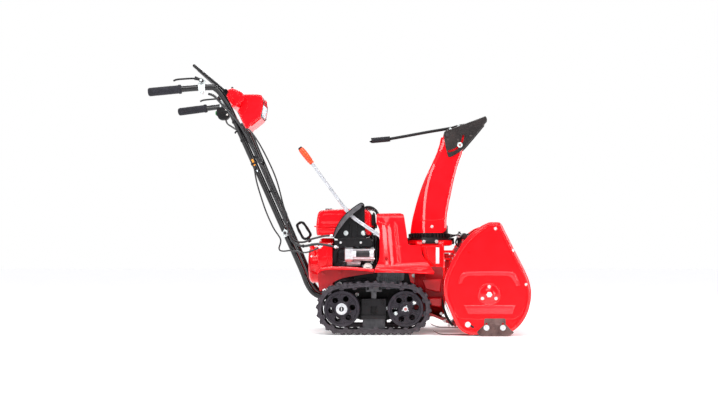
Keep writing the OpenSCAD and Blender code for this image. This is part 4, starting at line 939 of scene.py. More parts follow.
for sg in (-1, 1):
    # shoulders beside the blower tower
    for pts in ([(265.5, 356), (268, 352.6), (275, 352), (296, 351), (311, 349), (317, 344), (318.6, 334), (321, 317), (330, 300), (341, 286), (356, 264), (368, 246)],):
        v, f = span_skin(pts, 24, 3.0, n=6)
        v = [(x, y + sg * 121, z) for x, y, z in v]
        P.put(v, f)
    # ledge lip: folded tube along the flare
    lip_ = catmull([(136, 191, 257), (180, 192, 253), (240, 192, 249.6), (300, 191.5, 246.6), (346, 190, 244.6), (368, 187, 243.6)], 5)
    P.loft([[(q.x, sg * (q.y + a_), q.z + b_) for a_, b_ in ((0, -7), (0, -2.6), (-2.8, 2.4), (-7, 3.0), (-7, -7))] for q in lip_])
    P.tube([(150, sg * 143.5, 474), (200, sg * 144, 475.4), (234, sg * 144, 475.6), (246, sg * 143.6, 470)], 2.6, 12)
    # slanted crease near the top and the bracket that carries the frame bolt
    P.tube([(146, sg * 145.6, 448), (162, sg * 147, 440), (196, sg * 148.4, 428)], 3.2, 12)
    P.prism([(268, 238), (300, 238), (298, 206), (288, 198), (276, 204)], sg * 128, sg * 132, ch=0.8)
    P.mat(ZINC)
    P.bolt((291, sg * 132.4, 231), (0, sg, 0), 7, 4.6)
    # recessed bolt seat and bolt in the painted-shade red
    P.mat(RED_SHADE)
    P.lathe((183, sg * 149.6, 298), (0, sg, 0), [(10, 0), (9, 1.2), (7, 1.4), (6, 0.6)], 28)
    P.bolt((183, sg * 150.2, 298), (0, sg, 0), 4, 3.4, 1.2)
    P.mat(RED)
P.done("chassis", ["belt_cover"], bevel=0, sharp=44)

# ------------------------------------------------------------------ fenders
P = Piece("fender_panels", RED)
for sg in (-1, 1):
    outl = [(-92, 254), (-94, 232), (-93, 206), (-88, 176), (-83, 168), (-72, 176), (-52, 188), (-24, 208), (0, 218), (24, 224), (70, 232), (129, 240), (129, 258), (80, 262), (40, 264), (-40, 266), (-70, 266), (-84, 262)]
    o2 = smooth2(outl, 3, keep=(11, 12))
    # painted shade: the lower side panel under the shelf takes the darker shaded red
    P.mat(RED_SHADE)
    P.prism(o2, sg * 133 if sg > 0 else -136, sg * 136 if sg > 0 else -133)
    P.mat(RED)
    # flared shelf over the track with a rolled lip
    top = [(-92, 253), (-86, 260), (-76, 265), (-60, 267), (-20, 267.4), (40, 265.6), (90, 261.6), (131, 257.6)]
    tp = smooth2(top, 4, closed=False)
    rows = []
    for x, z in tp:
        k = max(0.0, (-40 - x) / 50)
        rows.append([(x, sg * (134 + w), z - 2.0 * (w / 56) ** 2 * 2 - k * 5 * (w / 56)) for w in (0, 8, 16, 26, 36, 46, 53, 56)])
    R, C = len(rows), 8
    v = [p for r in rows for p in r] + [(p[0], p[1], p[2] - 2.6) for r in rows for p in r]
    n = R * C
    f = []
    for i in range(R - 1):
        for j in range(C - 1):
            a, b, c, d = i * C + j, i * C + j + 1, (i + 1) * C + j + 1, (i + 1) * C + j
            f += [[a, b, c, d], [a + n, d + n, c + n, b + n]]
    rim = [i * C for i in range(R)] + [(R - 1) * C + j for j in range(1, C)] + [i * C + C - 1 for i in range(R - 2, -1, -1)] + [j for j in range(C - 2, 0, -1)]
    for k in range(len(rim)):
        a, b = rim[k], rim[(k + 1) % len(rim)]
        f.append([a, b, b + n, a + n])
    P.put(v, f)
    P.loft([[(q[0], q[1] + sg * a_, q[2] + b_) for a_, b_ in ((1, -8), (1, -2.6), (-1.8, 2.4), (-6, 3.0), (-6, -8))] for q in [r[7] for r in rows]])
    # bolts in the same painted-shade red
    P.mat(RED_SHADE)
    for x, z in ((-70, 240), (-6, 246), (60, 252)):
        P.bolt((x, sg * 136, z), (0, sg, 0), 5, 4)
    P.mat(RED)
P.done("chassis", ["fenders"], bevel=0.8, limit=50)

# ------------------------------------------------------------------ lever gate
P = Piece("lever_quadrant", BLACKPL)
gp = [(83, 521), (90, 516), (92, 509), (92, 421), (101, 384), (99, 380), (-16, 376), (-28, 379), (-33, 388), (-22, 415), (0, 454), (29, 485), (57, 507), (74, 517)]
P.prism(gp, -131, -128.2)
# curved rim with a soft outer roll; the lever slot is left open in it
edge = [(-31, 385), (-22, 414), (0, 453), (29, 484), (57, 506), (80, 519), (90, 512)]
ed = catmull([(x, 0, z) for x, z in edge], 6)
inn = catmull([(x, 0, z) for x, z in [(-25, 388), (-15, 411), (6, 449), (34, 479), (61, 500), (79, 511.5), (86, 508)]], 6)
def strip(ya, yb, i0, i1, lift=0.0):
    rr = []
    for i in range(i0, i1 + 1):
        a, b = ed[i], inn[i]
        m_ = (a + b) / 2
        rr.append([(a.x, ya, a.z), (a.x, yb, a.z), (b.x, yb, b.z), (b.x, ya, b.z)])
    P.loft(rr)
nE = len(ed) - 1
strip(-152, -149.6, 0, nE)
strip(-133, -128.2, 0, nE)
strip(-152, -128.2, 0, 6)
strip(-152, -128.2, nE - 8, nE)
P.mat(SLIDE)
rr = []
for i in range(nE + 1):
    a = ed[i]
    t_ = (ed[min(i + 1, nE)] - ed[max(i - 1, 0)]).normalized()
    nn_ = V((t_.z, 0, -t_.x))
    w_ = 19.0 * min(1.0, 0.35 + i / nE * 2.2, 0.3 + (nE - i) / nE * 2.4)
    b = a + nn_ * w_
    rr.append([(a.x, -151, a.z), (b.x, -167.6, b.z), (b.x, -165.0, b.z), (a.x, -148.6, a.z)])
P.loft(rr)
P.mat(BLACKPL)
P.tube([(q.x, -150.6, q.z) for q in ed[::3]] + [(ed[-1].x, -150.6, ed[-1].z)], 2.2, 10)
# side web, ribs, bolts and the tray below
P.tube([(91, -131, 505), (91.5, -131, 424), (99, -131, 386)], 2.4, 10, 6)
for x in (36, 62):
    P.tube([(x + 2, -131.6, 384), (x, -132, 410), (x, -131.4, 438)], 3.2, 10)
P.tube([(-20, -131.6, 380), (98, -131.6, 382)], 3.0, 10, 6)
P.prism([(-14, 378), (112, 378), (124, 366), (124, 352), (112, 346), (0, 346), (-14, 356)], -150, -146)
P.box((-10, -148, 372), (122, -129, 377.4), ch=1.5)
P.box((-6, -132, 348), (120, -128.6, 376), ch=1)
P.tube([(-12, -150, 377), (112, -150, 377), (124, -150, 366)], 1.8, 8, 4, smooth=False)
P.mat(ZINC)
P.bolt((18, -131, 400), (0, -1, 0), 6.4, 4.6, 1.5)
P.bolt((88, -131, 400), (0, -1, 0), 6.4, 4.6, 1.5)
P.bolt((-2, -150, 362), (0, -1, 0), 3.6, 3.4)
P.bolt((78, -150, 362), (0, -1, 0), 3.6, 3.4)
P.done("chassis", ["lever_gate"], bevel=0.9, limit=45)

# drive lever: chromed rod with a flattened lower bar and a moulded grip
P = Piece("drive_lever_rod", WHITEL)
P.tube([(-120, -140, 682), (-60, -140, 600), (0, -140, 518), (24, -140, 490), (48, -140, 462)], 6, 16)
P.tube([(15, -140, 497), (48, -140, 462), (96, -140, 428), (150, -140, 391), (160, -140, 384)], 6.4, 16, flat=(1.15, 0.55))
P.lathe((165, -136, 381), (0, -1, 0), [(14, 0), (14, 7), (13, 8), (6, 8.4), (5.2, 8), (5.2, 0)], 40, cap=(False, False))
P.mat(ORANGE)
P.tube([(-162, -140, 736), (-156, -140, 728.6), (-140, -140, 708), (-124, -140, 687), (-116, -140, 677)], lambda s: 9.5 + 3.2 * math.sin(pi * min(1, s * 1.2)) * (1 - 0.35 * s), 24)
for i in range(5):
    t = 0.35 + 0.11 * i
    x, z = -162 + 46 * t, 736 - 59 * t
    d = V((46, 0, -59)).normalized()
    P.lathe(V((x, -140, z)), d, [(10.4, -1.4), (12.4, -0.6), (12.4, 0.6), (10.4, 1.4)], 24)
P.mat(BLACKPL)
P.tube([(-166, -140, 741), (-160.5, -140, 734)], 8.6, 20, 2)
P.done("drive_lever", ["shift_lever"], bevel=0.0)

# ------------------------------------------------------------------ auger housing, side plates
keep("auger_housing", RED, 0.7)
OUT = [(577.5, 437), (595, 437.6), (612, 437.4), (619, 434.6), (625.6, 427), (633, 412), (672, 334), (696, 287), (714, 251), (729, 215), (736, 184), (737.5, 164), (736, 136), (729, 105), (720, 81),
       (708, 60), (694, 42), (670, 22), (642, 11.5), (618, 7.6), (600, 6.4), (560, 6.2), (520, 6.6), (500, 8), (475, 19), (454, 40), (437, 74), (420, 115), (408, 146), (403.5, 180),
       (406, 214), (420, 255), (441, 299), (468, 345.5), (502, 384.5), (536, 412.6), (561, 429.6)]
OUTS = smooth2(OUT, 4)
for side, sg in (("right", -1), ("left", 1)):
    P = Piece("side_panel_" + side, RED_PL)
    ya, yb = (-302.3, -299.3) if sg < 0 else (299.3, 302.3)
    P.plate(OUTS, [circ(499, 321, 4, 20), circ(577, 160, 12.1, 32)], ya, yb)
    yo = sg * 302.3
    d = (0, sg, 0)
    # rolled edge all round, pressed as flat facets
    P.mat(RED)
    rr = []
    for dd_, hh_ in ((0.4, -1.0), (0.2, 0.2), (6.6, 2.96), (10.5, 3.7), (13.5, 3.1), (15.5, 0.0)):
        rr.append([(a, yo + sg * hh_, b) for a, b in offset2(OUTS, dd_)])
    P.loft(rr, cap=(False, False))
    # embossed inverted U band, in a lighter red that paints its highlight
    P.mat(RED_LIT)
    def band(pts_o, pts_i, h=4.2):
        o_ = smooth2(pts_o, 4, closed=False)
        i_ = smooth2(pts_i, 4, closed=False)
        rr = []
        for a, b in zip(o_, i_):
            a, b = V(a), V(b)
            c1 = a + (b - a) * 0.28
            c2 = a + (b - a) * 0.72
            rr.append([(a.x, yo, a.y), (c1.x, yo + sg * h, c1.y), (c2.x, yo + sg * h, c2.y), (b.x, yo, b.y)])
        P.loft(rr, closed=False, cap=(False, False))
    band([(459, 201), (459, 215), (463, 229), (473, 241), (490, 246.6), (560, 249), (640, 249), (664, 246.6), (679, 239), (686, 226), (692, 212), (698, 196)],
         [(473, 203), (476, 214), (481, 223), (490, 229.6), (504, 231.6), (560, 232.6), (632, 232.6), (650, 230.6), (661, 225), (668, 216), (674, 206), (681, 192)])
    # lower raised tray in the same painted-highlight red, and a bend line round the foot
    tray = [(482, 118), (677, 118), (666, 88), (497, 84)]
    P.loft([[(a, yo, b) for a, b in ((481, 119), (678, 119), (665, 85), (497, 85))], [(a, yo + sg * 2.6, b) for a, b in ((486, 115.6), (673, 115.6), (662.4, 88), (500, 88))],
            [(a, yo + sg * 3.6, b) for a, b in ((490, 112.6), (669, 112.6), (660, 90.6), (503, 90.6))]], cap=(False, True))
    P.mat(RED)
    P.tube([(422, yo, 128), (432, yo, 112), (452, yo, 82), (466, yo, 70), (520, yo, 66), (640, yo, 66), (672, yo, 68), (692, yo, 80), (710, yo, 104), (718, yo, 118)], 1.5, 8, 5)
    # bearing flange: pressed ring with three bolts and the shaft nut
    P.lathe((577, yo, 160), d, [(45, 0), (43.6, 2.0), (41.5, 2.8), (39.2, 2.2), (37.6, 0.8), (21, 0.9), (19, 2.4), (12.4, 2.4), (12.2, 0)], 64, cap=(False, False))
    P.mat(ZINC)
    for a in (90, 210, 330):
        g = math.radians(a)
        P.bolt((577 + 30 * math.cos(g), yo + sg * 1.0, 160 + 30 * math.sin(g)), d, 5, 4.6, 1.3, phase=0.3)
    for x, z in ((601, 413), (668, 329), (719, 199)):
        P.bolt((x, yo + sg * 1.6, z), d, 4.6, 3.6, 1.35, phase=0.2)
    P.bolt((495, yo, 45), d, 7.6, 5, 1.4)
    P.mat(BLACKS)
    # oblique slot by the scraper bolt
    P.tube([(505, yo + sg * 0.2, 42), (518, yo + sg * 0.2, 33)], 4, 12, 2, flat=(1, 0.2))
    P.done("chassis", ["side_plate_" + side], bevel=0)

# housing edge details: top lip bead, rear seam and drift cutter mounts
P = Piece("housing_seams", RED)
P.tube([(606, y, 433) for y in (-297, -150, 0, 150, 297)], 3.4, 12, 6)
for sg in (-1, 1):
    P.tube([(x, sg * 296.6, z) for x, z in ((470, 349), (502, 385), (536, 412), (562, 428.6), (590, 436))], 2.6, 10)
P.tube([(478, y, 358) for y in (-296, 0, 296)], 1.6, 8, 8)
# blower throat collar seen from the front
P.lathe((402, 0, 203), (1, 0, 0), [(136, 4), (134.5, 10), (131, 12), (129, 10), (129, 0)], 72, cap=(False, False))
P.done("chassis", bevel=0)

P = Piece("skid_shoe_pair", WORN)
for sg in (-1, 1):
    ya = sg * 304.8
    yb = sg * 308.6
    o = [(558, 66), (562, 69), (635, 69), (639, 66), (640, 47), (656, 29), (668, 18), (661, 8), (649, 1.4), (553, 1.4), (541, 8), (532.5, 20), (545, 32), (557, 44)]
    slots = [[(x - 4, 24), (x + 4, 24), (x + 4, 52), (x - 4, 52)] for x in (566, 629)]
    P.plate(o, slots, min(ya, yb), max(ya, yb))
    # curled sole
    P.tube([(531, sg * 308, 19), (540, sg * 309, 8), (553, sg * 309.6, 3.6), (600, sg * 309.8, 3.4), (649, sg * 309.6, 3.6), (660, sg * 309, 9), (669, sg * 308, 17)], 3.4, 12, 5, flat=(0.9, 1.2))
    P.mat(ZINC)
    for x in (566, 629):
        P.lathe((x, sg * 308.6, 33), (0, sg, 0), [(11, 0), (11, 1.4), (10, 2), (8, 2)], 32)
        P.bolt((x, sg * 310, 33), (0, sg, 0), 6.4, 4.2, 0, phase=0.2)
    P.mat(WORN)
P.done("chassis", ["skid_shoes"], bevel=0.6, limit=45)

P = Piece("scraper_and_runners", WORN)
P.loft([[(x, y, z) for x, z in ((521, 3.2), (521, 5.1), (600, 5.1), (612, 2.6), (611, 0.7), (600, 2.2))] for y in (-296, 0, 296)])
for sg in (-1, 1):
    path = [(364, 19), (370, 13.4), (392, 4.6), (420, 1.9), (480, 1.9), (518, 2.4)]
    rows = [[(x, sg * y, z + (0.9 if abs(y - 231) > 13 else 0)) for y in (216, 219, 231, 243, 246)] for x, z in smooth2(path, 5, closed=False)]
    R, C = len(rows), 5
    v = [p for r in rows for p in r] + [(p[0], p[1], p[2] - 1.8) for r in rows for p in r]
    n = R * C
    f = []
    for i in range(R - 1):
        for j in range(C - 1):
            a, b, c, dd = i * C + j, i * C + j + 1, (i + 1) * C + j + 1, (i + 1) * C + j
            f += [[a, b, c, dd], [a + n, dd + n, c + n, b + n]]
    rim_ = [i * C for i in range(R)] + [(R - 1) * C + j for j in range(1, C)] + [i * C + C - 1 for i in range(R - 2, -1, -1)] + [j for j in range(C - 2, 0, -1)]
    for k in range(len(rim_)):
        a, b = rim_[k], rim_[(k + 1) % len(rim_)]
        f.append([a, b, b + n, a + n])
    P.put(v, f)
P.mat(ZINC)
for y in (-240, -120, 0, 120, 240):
    P.lathe((560, y, 5.1), (0, 0, 1), [(8, 0), (7.4, 1.6), (4, 3)], 24)
P.done("chassis", ["scraper_blade"], bevel=0.3, limit=50)

# ------------------------------------------------------------------ auger: smooth ribbons with a rolled outer edge
P = Piece("auger_screw", RED)
P.lathe((577, -306, 160), (0, 1, 0), [(11, 0), (12, 1), (12, 611), (11, 612)], 32)
for sg in (-1, 1):
    P.lathe((577, sg * 36, 160), (0, sg, 0), [(17, 0), (18, 1), (18, 258), (17, 259)], 32)
    for st in (0, pi):
        rr = []
        n = 96
        for i in range(n + 1):
            t = i / n
            a = st + 3 * pi * t
            y = -286 + 234 * t
            c, s = math.cos(a), math.sin(a)
            notch = 1.6 * (0.5 + 0.5 * math.cos(i * pi / 3))
            sec = [(96, -1.8), (97, -2.2), (128, -2.0), (133.6 - notch, -1.4), (134 - notch, 0), (133.6 - notch, 1.4), (128, 2.0), (97, 2.2), (96, 1.8)]
            rr.append([(577 + r * c, (y + e) * (1 if sg < 0 else -1), 160 + r * s) for r, e in sec])
        P.loft(rr)
    for fq in (0.04, 0.5, 0.96):
        for o_ in (0, 1):
            y = (-286 + 234 * fq) * (1 if sg < 0 else -1)
            a = o_ * pi + 3 * pi * fq
            u, w = V((math.cos(a), 0, math.sin(a))), V((-math.sin(a), 0, math.cos(a)))
            P.loft([[V((577, y, 160)) + u * q + w * e + V((0, h, 0)) for e, h in ((-k, -2.6), (k, -2.6), (k, 2.6), (-k, 2.6))] for q, k in ((14, 11), (40, 8), (80, 8), (104, 10))])
    P.mat(ZINC)
    for y in (60, 270):
        P.bolt((577, sg * y, 178), (0, 0, 1), 5, 5)
    P.lathe((577, sg * 303.4, 160), (0, sg, 0), [(12, 0), (11.6, 2.4), (10, 3.4), (6, 3.6)], 6)
    P.mat(RED)
P.done("auger_rotor", ["auger"], bevel=0.5, limit=50)
# impeller in the painted-shade red
keep("impeller", RED_SHADE, 0.9)

# ------------------------------------------------------------------ blower housing
P = Piece("blower_drum", RED_X)
def cut_drum(x):
    return x
P.lathe((0, 0, 203), (1, 0, 0), [(26, 289.8), (27, 290.6), (120, 290.4), (141, 291.4), (145, 294), (145, 300), (143, 302), (143, 330), (145, 333), (145, 338), (143.4, 341), (143.4, 404), (141, 404), (141, 296), (28, 294.5), (10.2, 294.5), (10.2, 290)], 96, cap=(False, False))
P.mat(RED)
# tower block round the throat, with rounded corners
def rr2(x0, x1, hy, r, z):
    return rrect(x0, x1, -hy, hy, r, z)
P.loft([rr2(297, 411, 87, 10, 240), rr2(296, 412, 88, 10, 262), rr2(296, 412, 88, 9, 352), rr2(297, 411, 87, 8, 363), rr2(300, 408, 84, 8, 367)], cap=(False, False))
P.lathe((355, 0, 0), (0, 0, 1), [(80, 351), (90, 353), (92.6, 358), (93, 364), (93, 372.6)], 72, cap=(False, False))
P.lathe((355, 0, 362), (0, 0, 1), [(60, 0), (92, 4.6), (93, 6), (93, 9.6), (92, 11), (62, 11), (53, 10.6), (53, -100)], 72, cap=(False, False))
for sg in (-1, 1):
    P.mat(RED_PL)
    P.loft([[(x, sg * y, z) for x, z in ((322 + e, 350 - e), (404 - e, 352 - e), (408 - e, 348 - e), (408 - e, 252 + e), (404 - e, 248 + e), (372 + e, 248 + e), (350 + e, 262 + e), (332 + e, 300), (321 + e, 340))] for y, e in ((87, 0), (124, 0), (127.6, 1.2), (129, 4))])
    # painted shade: the bead and pressings on the tower side take the darker shaded red
    P.mat(RED_SHADE)
    P.tube([(340, sg * 128.6, 344), (341, sg * 128.8, 318), (356, sg * 128.8, 286), (392, sg * 128.6, 252)], 1.8, 10)
    P.mat(RED_SHADE)
    P.loft([[(x, sg * 140, z) for x, z in ((318, 218), (402, 218), (396, 162), (334, 176))], [(x, sg * 147, z) for x, z in ((324, 213), (397, 213), (391, 168), (339, 180))]], cap=(False, True))
    P.loft([[(x, sg * 128, z) for x, z in ((346, 142), (402, 142), (400, 102), (358, 108))], [(x, sg * 139.6, z) for x, z in ((351, 138), (398, 138), (396, 108), (361, 113))]], cap=(False, True))
# side gusset panel between the tower and the drum, in the painted-shade red, with its trapezoid pressing in plain red
for sg in (-1, 1):
    P.mat(RED_SHADE)
    P.prism([(298, 250), (404, 250), (404, 140), (392, 100), (340, 100), (322, 130), (306, 176), (298, 210)], sg * 90 if sg > 0 else -93, sg * 93 if sg > 0 else -90, ch=0.8)
    P.mat(RED)
    P.loft([[(x, sg * 93, z) for x, z in ((318, 232), (396, 236), (384, 196), (344, 186))], [(x, sg * 95.4, z) for x, z in ((326, 228), (388, 231), (379, 201), (349, 192))]], cap=(False, True))
    P.mat(BLACKPL)
    P.mat(RED)
# duct from the tower forward to the auger housing: red bands with a painted-shade band between
for z, mt, h in ((322, RED, 10), (306, RED_SHADE, 8), (292, RED, 9)):
    P.mat(mt)
    P.box((408, -70, z), (452 - (322 - z) * 0.5, 70, z + h), ch=1.5)
# painted shade: the recess behind the duct bands is a darker red block
P.mat(RED_SHADE)
P.box((410, -62, 262), (432, 62, 320))
# stay under the drum: bent plate with bolts, in the painted-shade red
P.mat(RED_SHADE)
P.loft([[(x, y, z) for x, z in ((346, 97), (350, 73), (400, 52), (446, 30), (458, 24), (462, 36), (440, 44), (356, 80), (352, 97))] for y in (-120, 120)])
P.mat(ZINC)
for sg in (-1, 1):
    for x, z in ((398, 86), (412, 56), (430, 40)):
        P.bolt((x, sg * 120.4, z - 8), (0, sg, 0), 4.4, 3.6)
P.mat(BLACKS)
for sg in (-1, 1):
    # thin flange that runs down the joint between drum and auger housing
    P.tube([(398, sg * 122, 158), (404, sg * 124, 120), (414, sg * 126, 84), (430, sg * 128, 50), (446, sg * 129, 30)], 3.0, 10, flat=(1.6, 0.5))
P.mat(LABEL)
P.loft([[(x, -129.0, z) for x, z in ((377, 278), (391, 278), (391, 343), (377, 343))], [(x, -129.8, z) for x, z in ((377.5, 278.5), (390.5, 278.5), (390.5, 342.5), (377.5, 342.5))]])
P.mat(ZINC)
for sg in (-1, 1):
    for x, z in ((304, 268), (304, 340)):
        P.bolt((x, sg * 88, z), (0, sg, 0), 4, 3.4)
P.done("chassis", ["blower_housing"], bevel=0, sharp=40)

# ------------------------------------------------------------------ chute ring, clamps, latch
P = Piece("ring_gear", BLACKPL)
P.lathe((355, 0, 0), (0, 0, 1), [(62, 373.4), (86, 373.4), (87, 374.4), (87, 379), (86, 380), (80.5, 380), (80, 381), (80, 401), (79, 402), (69.4, 402), (69, 403), (69, 434.6), (68, 435.6), (63, 435.6), (62, 434.6)], 96, cap=(False, False))
P.lathe((355, 0, 0), (0, 0, 1), [(62, 434.6), (62, 373.4)], 96, cap=(False, False))
for i in range(36):
    a = math.radians(10 * i)
    u, w = V((math.cos(a), math.sin(a), 0)), V((-math.sin(a), math.cos(a), 0))
    rr = []
    for z, k in ((384, 0.9), (385, 1), (399, 1), (400, 0.9)):
        rr.append([V((355, 0, z)) + u * (78 + 9 * k) + w * 1.7 * k, V((355, 0, z)) + u * 84 + w * 2.7 * k, V((355, 0, z)) + u * 78 + w * 3.2, V((355, 0, z)) + u * 78 - w * 3.2,
                   V((355, 0, z)) + u * 84 - w * 2.7 * k, V((355, 0, z)) + u * (78 + 9 * k) - w * 1.7 * k])
    P.loft(rr)
P.done("chute_head", ["chute_ring"], bevel=0.4, limit=50)

P = Piece("ring_clamps", BLACKS)
for a in (-90, 30, 150):
    g = math.radians(a)
    u, w = V((math.cos(g), math.sin(g), 0)), V((-math.sin(g), math.cos(g), 0))
    c = V((355, 0, 0))
    def blk(r0, r1, hw, z0, z1):
        P.loft([[c + u * r + w * e + V((0, 0, z)) for r, e in ((r0, -hw), (r1, -hw), (r1, hw), (r0, hw))] for z in (z0, z1)])
    blk(94, 98, 33, 358, 384)
    blk(88.2, 98, 33, 381.5, 384)
    blk(89.5, 95, 33, 363, 366.7)
    P.mat(ZINC)
    for e in (-25, 26):
        P.bolt(c + u * 98 + w * e + V((0, 0, 367)), u, 5.2, 4.6, 1.3)
    P.mat(BLACKS)
# latch stand with its cable anchor, bent strap and round tube
P.prism([(470, 349), (480, 358), (488, 369), (488, 391.4), (470, 391.4)], 4, 24)
P.prism([(470, 349), (486, 367), (486, 372), (470, 356)], -22, 2)
P.lathe((478, 14, 391), (0, 0, 1), [(3, 0), (3, 15), (5.4, 15.2), (5.4, 18), (3, 19)], 20)
P.mat(CABLE)
P.tube([(488, 14, 382), (500, 6, 392), (512, -2, 398), (520, -6, 396)], 4, 12)
P.lathe((496, -2, 390), (0.2, -1, 0), [(10, -6), (13, -4), (13.4, 6), (11, 10), (5, 11)], 32)
P.mat(ZINC)
P.lathe((482, -2, 392), (1, 0, 0), [(4, -16), (6.4, -14), (6.4, 4), (4, 6)], 20)
P.box((466, -8, 384), (480, -3, 400), ch=1)
P.mat(BLACKS)
# spring strap down to the housing
P.tube([(470, -10, 384), (462, -14, 366), (468, -16, 352), (478, -16, 350)], 3.2, 10)
P.tube([(440, -12, 386), (456, -14, 392), (470, -12, 396), (490, -14, 388)], 2.6, 10)
P.done("chassis", ["chute_base"], bevel=0.8, limit=45)

P = Piece("latch_pawl", BLACKS)
P.lathe((478, 14, 392), (0, 0, 1), [(7.6, 0), (8, 0.6), (8, 11.4), (7.4, 12), (3.2, 12), (3.1, 0)], 32, cap=(False, False))
P.loft([[(x, 14 + y, z) for y, z in ((-h, 392.2), (h, 392.2), (h, 398), (-h, 398))] for x, h in ((446, 5.6), (452, 5.2), (470, 6), (476, 6.4))])
P.loft([[(x, y, z) for y, z in ((5, 386), (23, 386), (23.6, 399), (4.4, 399))] for x in (443.2, 447.8)])
P.done("latch", ["chute_latch"], bevel=0.6, limit=45)

# ------------------------------------------------------------------ chute: lofted channel with a ridge, crease and rolled edges
cz_ = [402.6, 426, 450, 475, 500, 530, 560, 590, 620, 650, 680, 710, 740, 765, 790]
def tab(zs_, vs_, z):
    p = [(a, b) for a, b in zip(zs_, vs_)]
    for (a, b), (c, d) in zip(p, p[1:]):
        if a <= z <= c:
            t = (z - a) / (c - a)
            t = t
            return b + (d - b) * t
    return p[-1][1]
Z8 = [402.4, 450, 500, 560, 620, 680, 740, 790]
BK = [276, 282, 294, 311, 333, 361, 390, 405]
RG = [325, 326, 328, 334, 347, 368, 395, 409]
FR = [422, 421, 427, 439, 452, 468, 487, 482]
HW = [72, 71, 70, 69, 68, 67, 66, 66]
def cr(vs_, z):
    i = max(j for j in range(8) if Z8[j] <= z + 1e-6)
    i = min(i, 6)
    t = (z - Z8[i]) / (Z8[i + 1] - Z8[i])
    a, b, c, d = vs_[max(i - 1, 0)], vs_[i], vs_[i + 1], vs_[min(i + 2, 7)]
    return 0.5 * (2 * b + (c - a) * t + (2 * a - 5 * b + 4 * c - d) * t * t + (3 * b - a - 3 * c + d) * t ** 3)
P = Piece("chute_channel", RED)
zz = [402.6 + (790 - 402.6) * i / 60 for i in range(61)]
rings = []
for z in zz:
    b, r, f_, h = cr(BK, z), cr(RG, z), cr(FR, z), cr(HW, z)
    # crease band near the foot stands proud, front foot corner is rounded away
    step = 1.3 * max(0.0, min(1.0, (452 - z) / 6.0)) if z < 452 else 0
    fr = f_ - (16 * (1 - (z - 402.6) / 18) ** 2 if z < 420.6 else 0)
    o = [(fr, -h - step + 2.3), (fr - 7.5, -h - step - 0.5), (f_ - 30, -h - step - 0.7), (r + 22, -h - step - 1.2), (r + 8.6, -h - step - 2.0), (r - 0.8, -h - step + 1.72), (r - 6, -h + 6.4 - step), ((r + b) / 2, (-h - 27) / 2 - 0.6),
         (b + 3, -30), (b + 0.6, -25), (b, -14), (b, 0)]
    o = o + [(x, -y) for x, y in o[-2::-1]]
    t = 2.6
    c = []
    for i in range(len(o)):
        a_, d_ = V(o[max(i - 1, 0)]), V(o[min(i + 1, len(o) - 1)])
        e = (d_ - a_).normalized()
        nn = V((e.y, -e.x))
        p = V(o[i]) + nn * -t if (V((380, 0)) - V(o[i])).dot(nn) < 0 else V(o[i]) + nn * t
        c.append((p.x, p.y))
    rings.append([(x, y, z) for x, y in o] + [(x, y, z) for x, y in c[::-1]])
P.loft(rings)
# rolled front edges and the horizontal pressing near the foot
for sg in (-1, 1):
    P.tube([(cr(FR, z) - 0.8, sg * (cr(HW, z) - 2.4), z) for z in (424, 450, 480, 520, 560, 600, 640, 680, 720, 742)], 1.9, 10)
    P.tube([(318, sg * 73, 452), (340, sg * 73.4, 452.6), (380, sg * 73.2, 453), (402, sg * 72.6, 455), (412, sg * 72, 462), (416, sg * 71.4, 474)], 2.2, 10)
    # cheeks for the hood, hinge and lock bolts
    ch_ = [(406, 788), (410, 797), (412.3, 803.8), (417.3, 808.7), (424, 810.5), (495, 811), (500, 800), (500, 772), (487, 740), (440, 740)]
    P.prism(ch_, sg * 63.5 if sg > 0 else -66, sg * 66 if sg > 0 else -63.5, ch=0.6)
    P.mat(DARKS)
    P.lathe((424, sg * 60, 797), (0, sg, 0), [(4, 0), (4, 15.4), (8, 15.5), (8, 17.6), (6.4, 18.8), (3, 19)], 24)
    P.mat(ZINC)
    lx, lz = 424 + 65 * math.cos(math.radians(37)), 797 - 65 * math.sin(math.radians(37))
    P.lathe((lx, sg * 60, lz), (0, sg, 0), [(2.4, 0), (2.4, 15.4), (11, 15.5), (11, 17), (10, 17.6), (9, 17.6)], 32)
    P.mat(PINK)
    P.lathe((lx, sg * 77, lz), (0, sg, 0), [(5, 0), (4.6, 1.8), (2, 2.2)], 24)
    P.mat(ZINC)
    P.bolt((363, sg * 73.6, 428), (0, sg, 0), 4.6, 3.6, 1.35)
    P.mat(RED)
# black foot seal where the channel meets the ring, seen at the front corner
P.mat(BLACKPL)
rr = []
for i in range(13):
    g = math.radians(-52 + 104 * i / 12)
    x, y = 355 + 71.4 * math.cos(g), 71.4 * math.sin(g)
    rr.append([(x, y, 403), (355 + 75 * math.cos(g), 75 * math.sin(g), 403), (355 + 75 * math.cos(g), 75 * math.sin(g), 432), (x, y, 435)])
P.loft(rr)
P.done("chute_head", ["chute"], bevel=0, sharp=13)

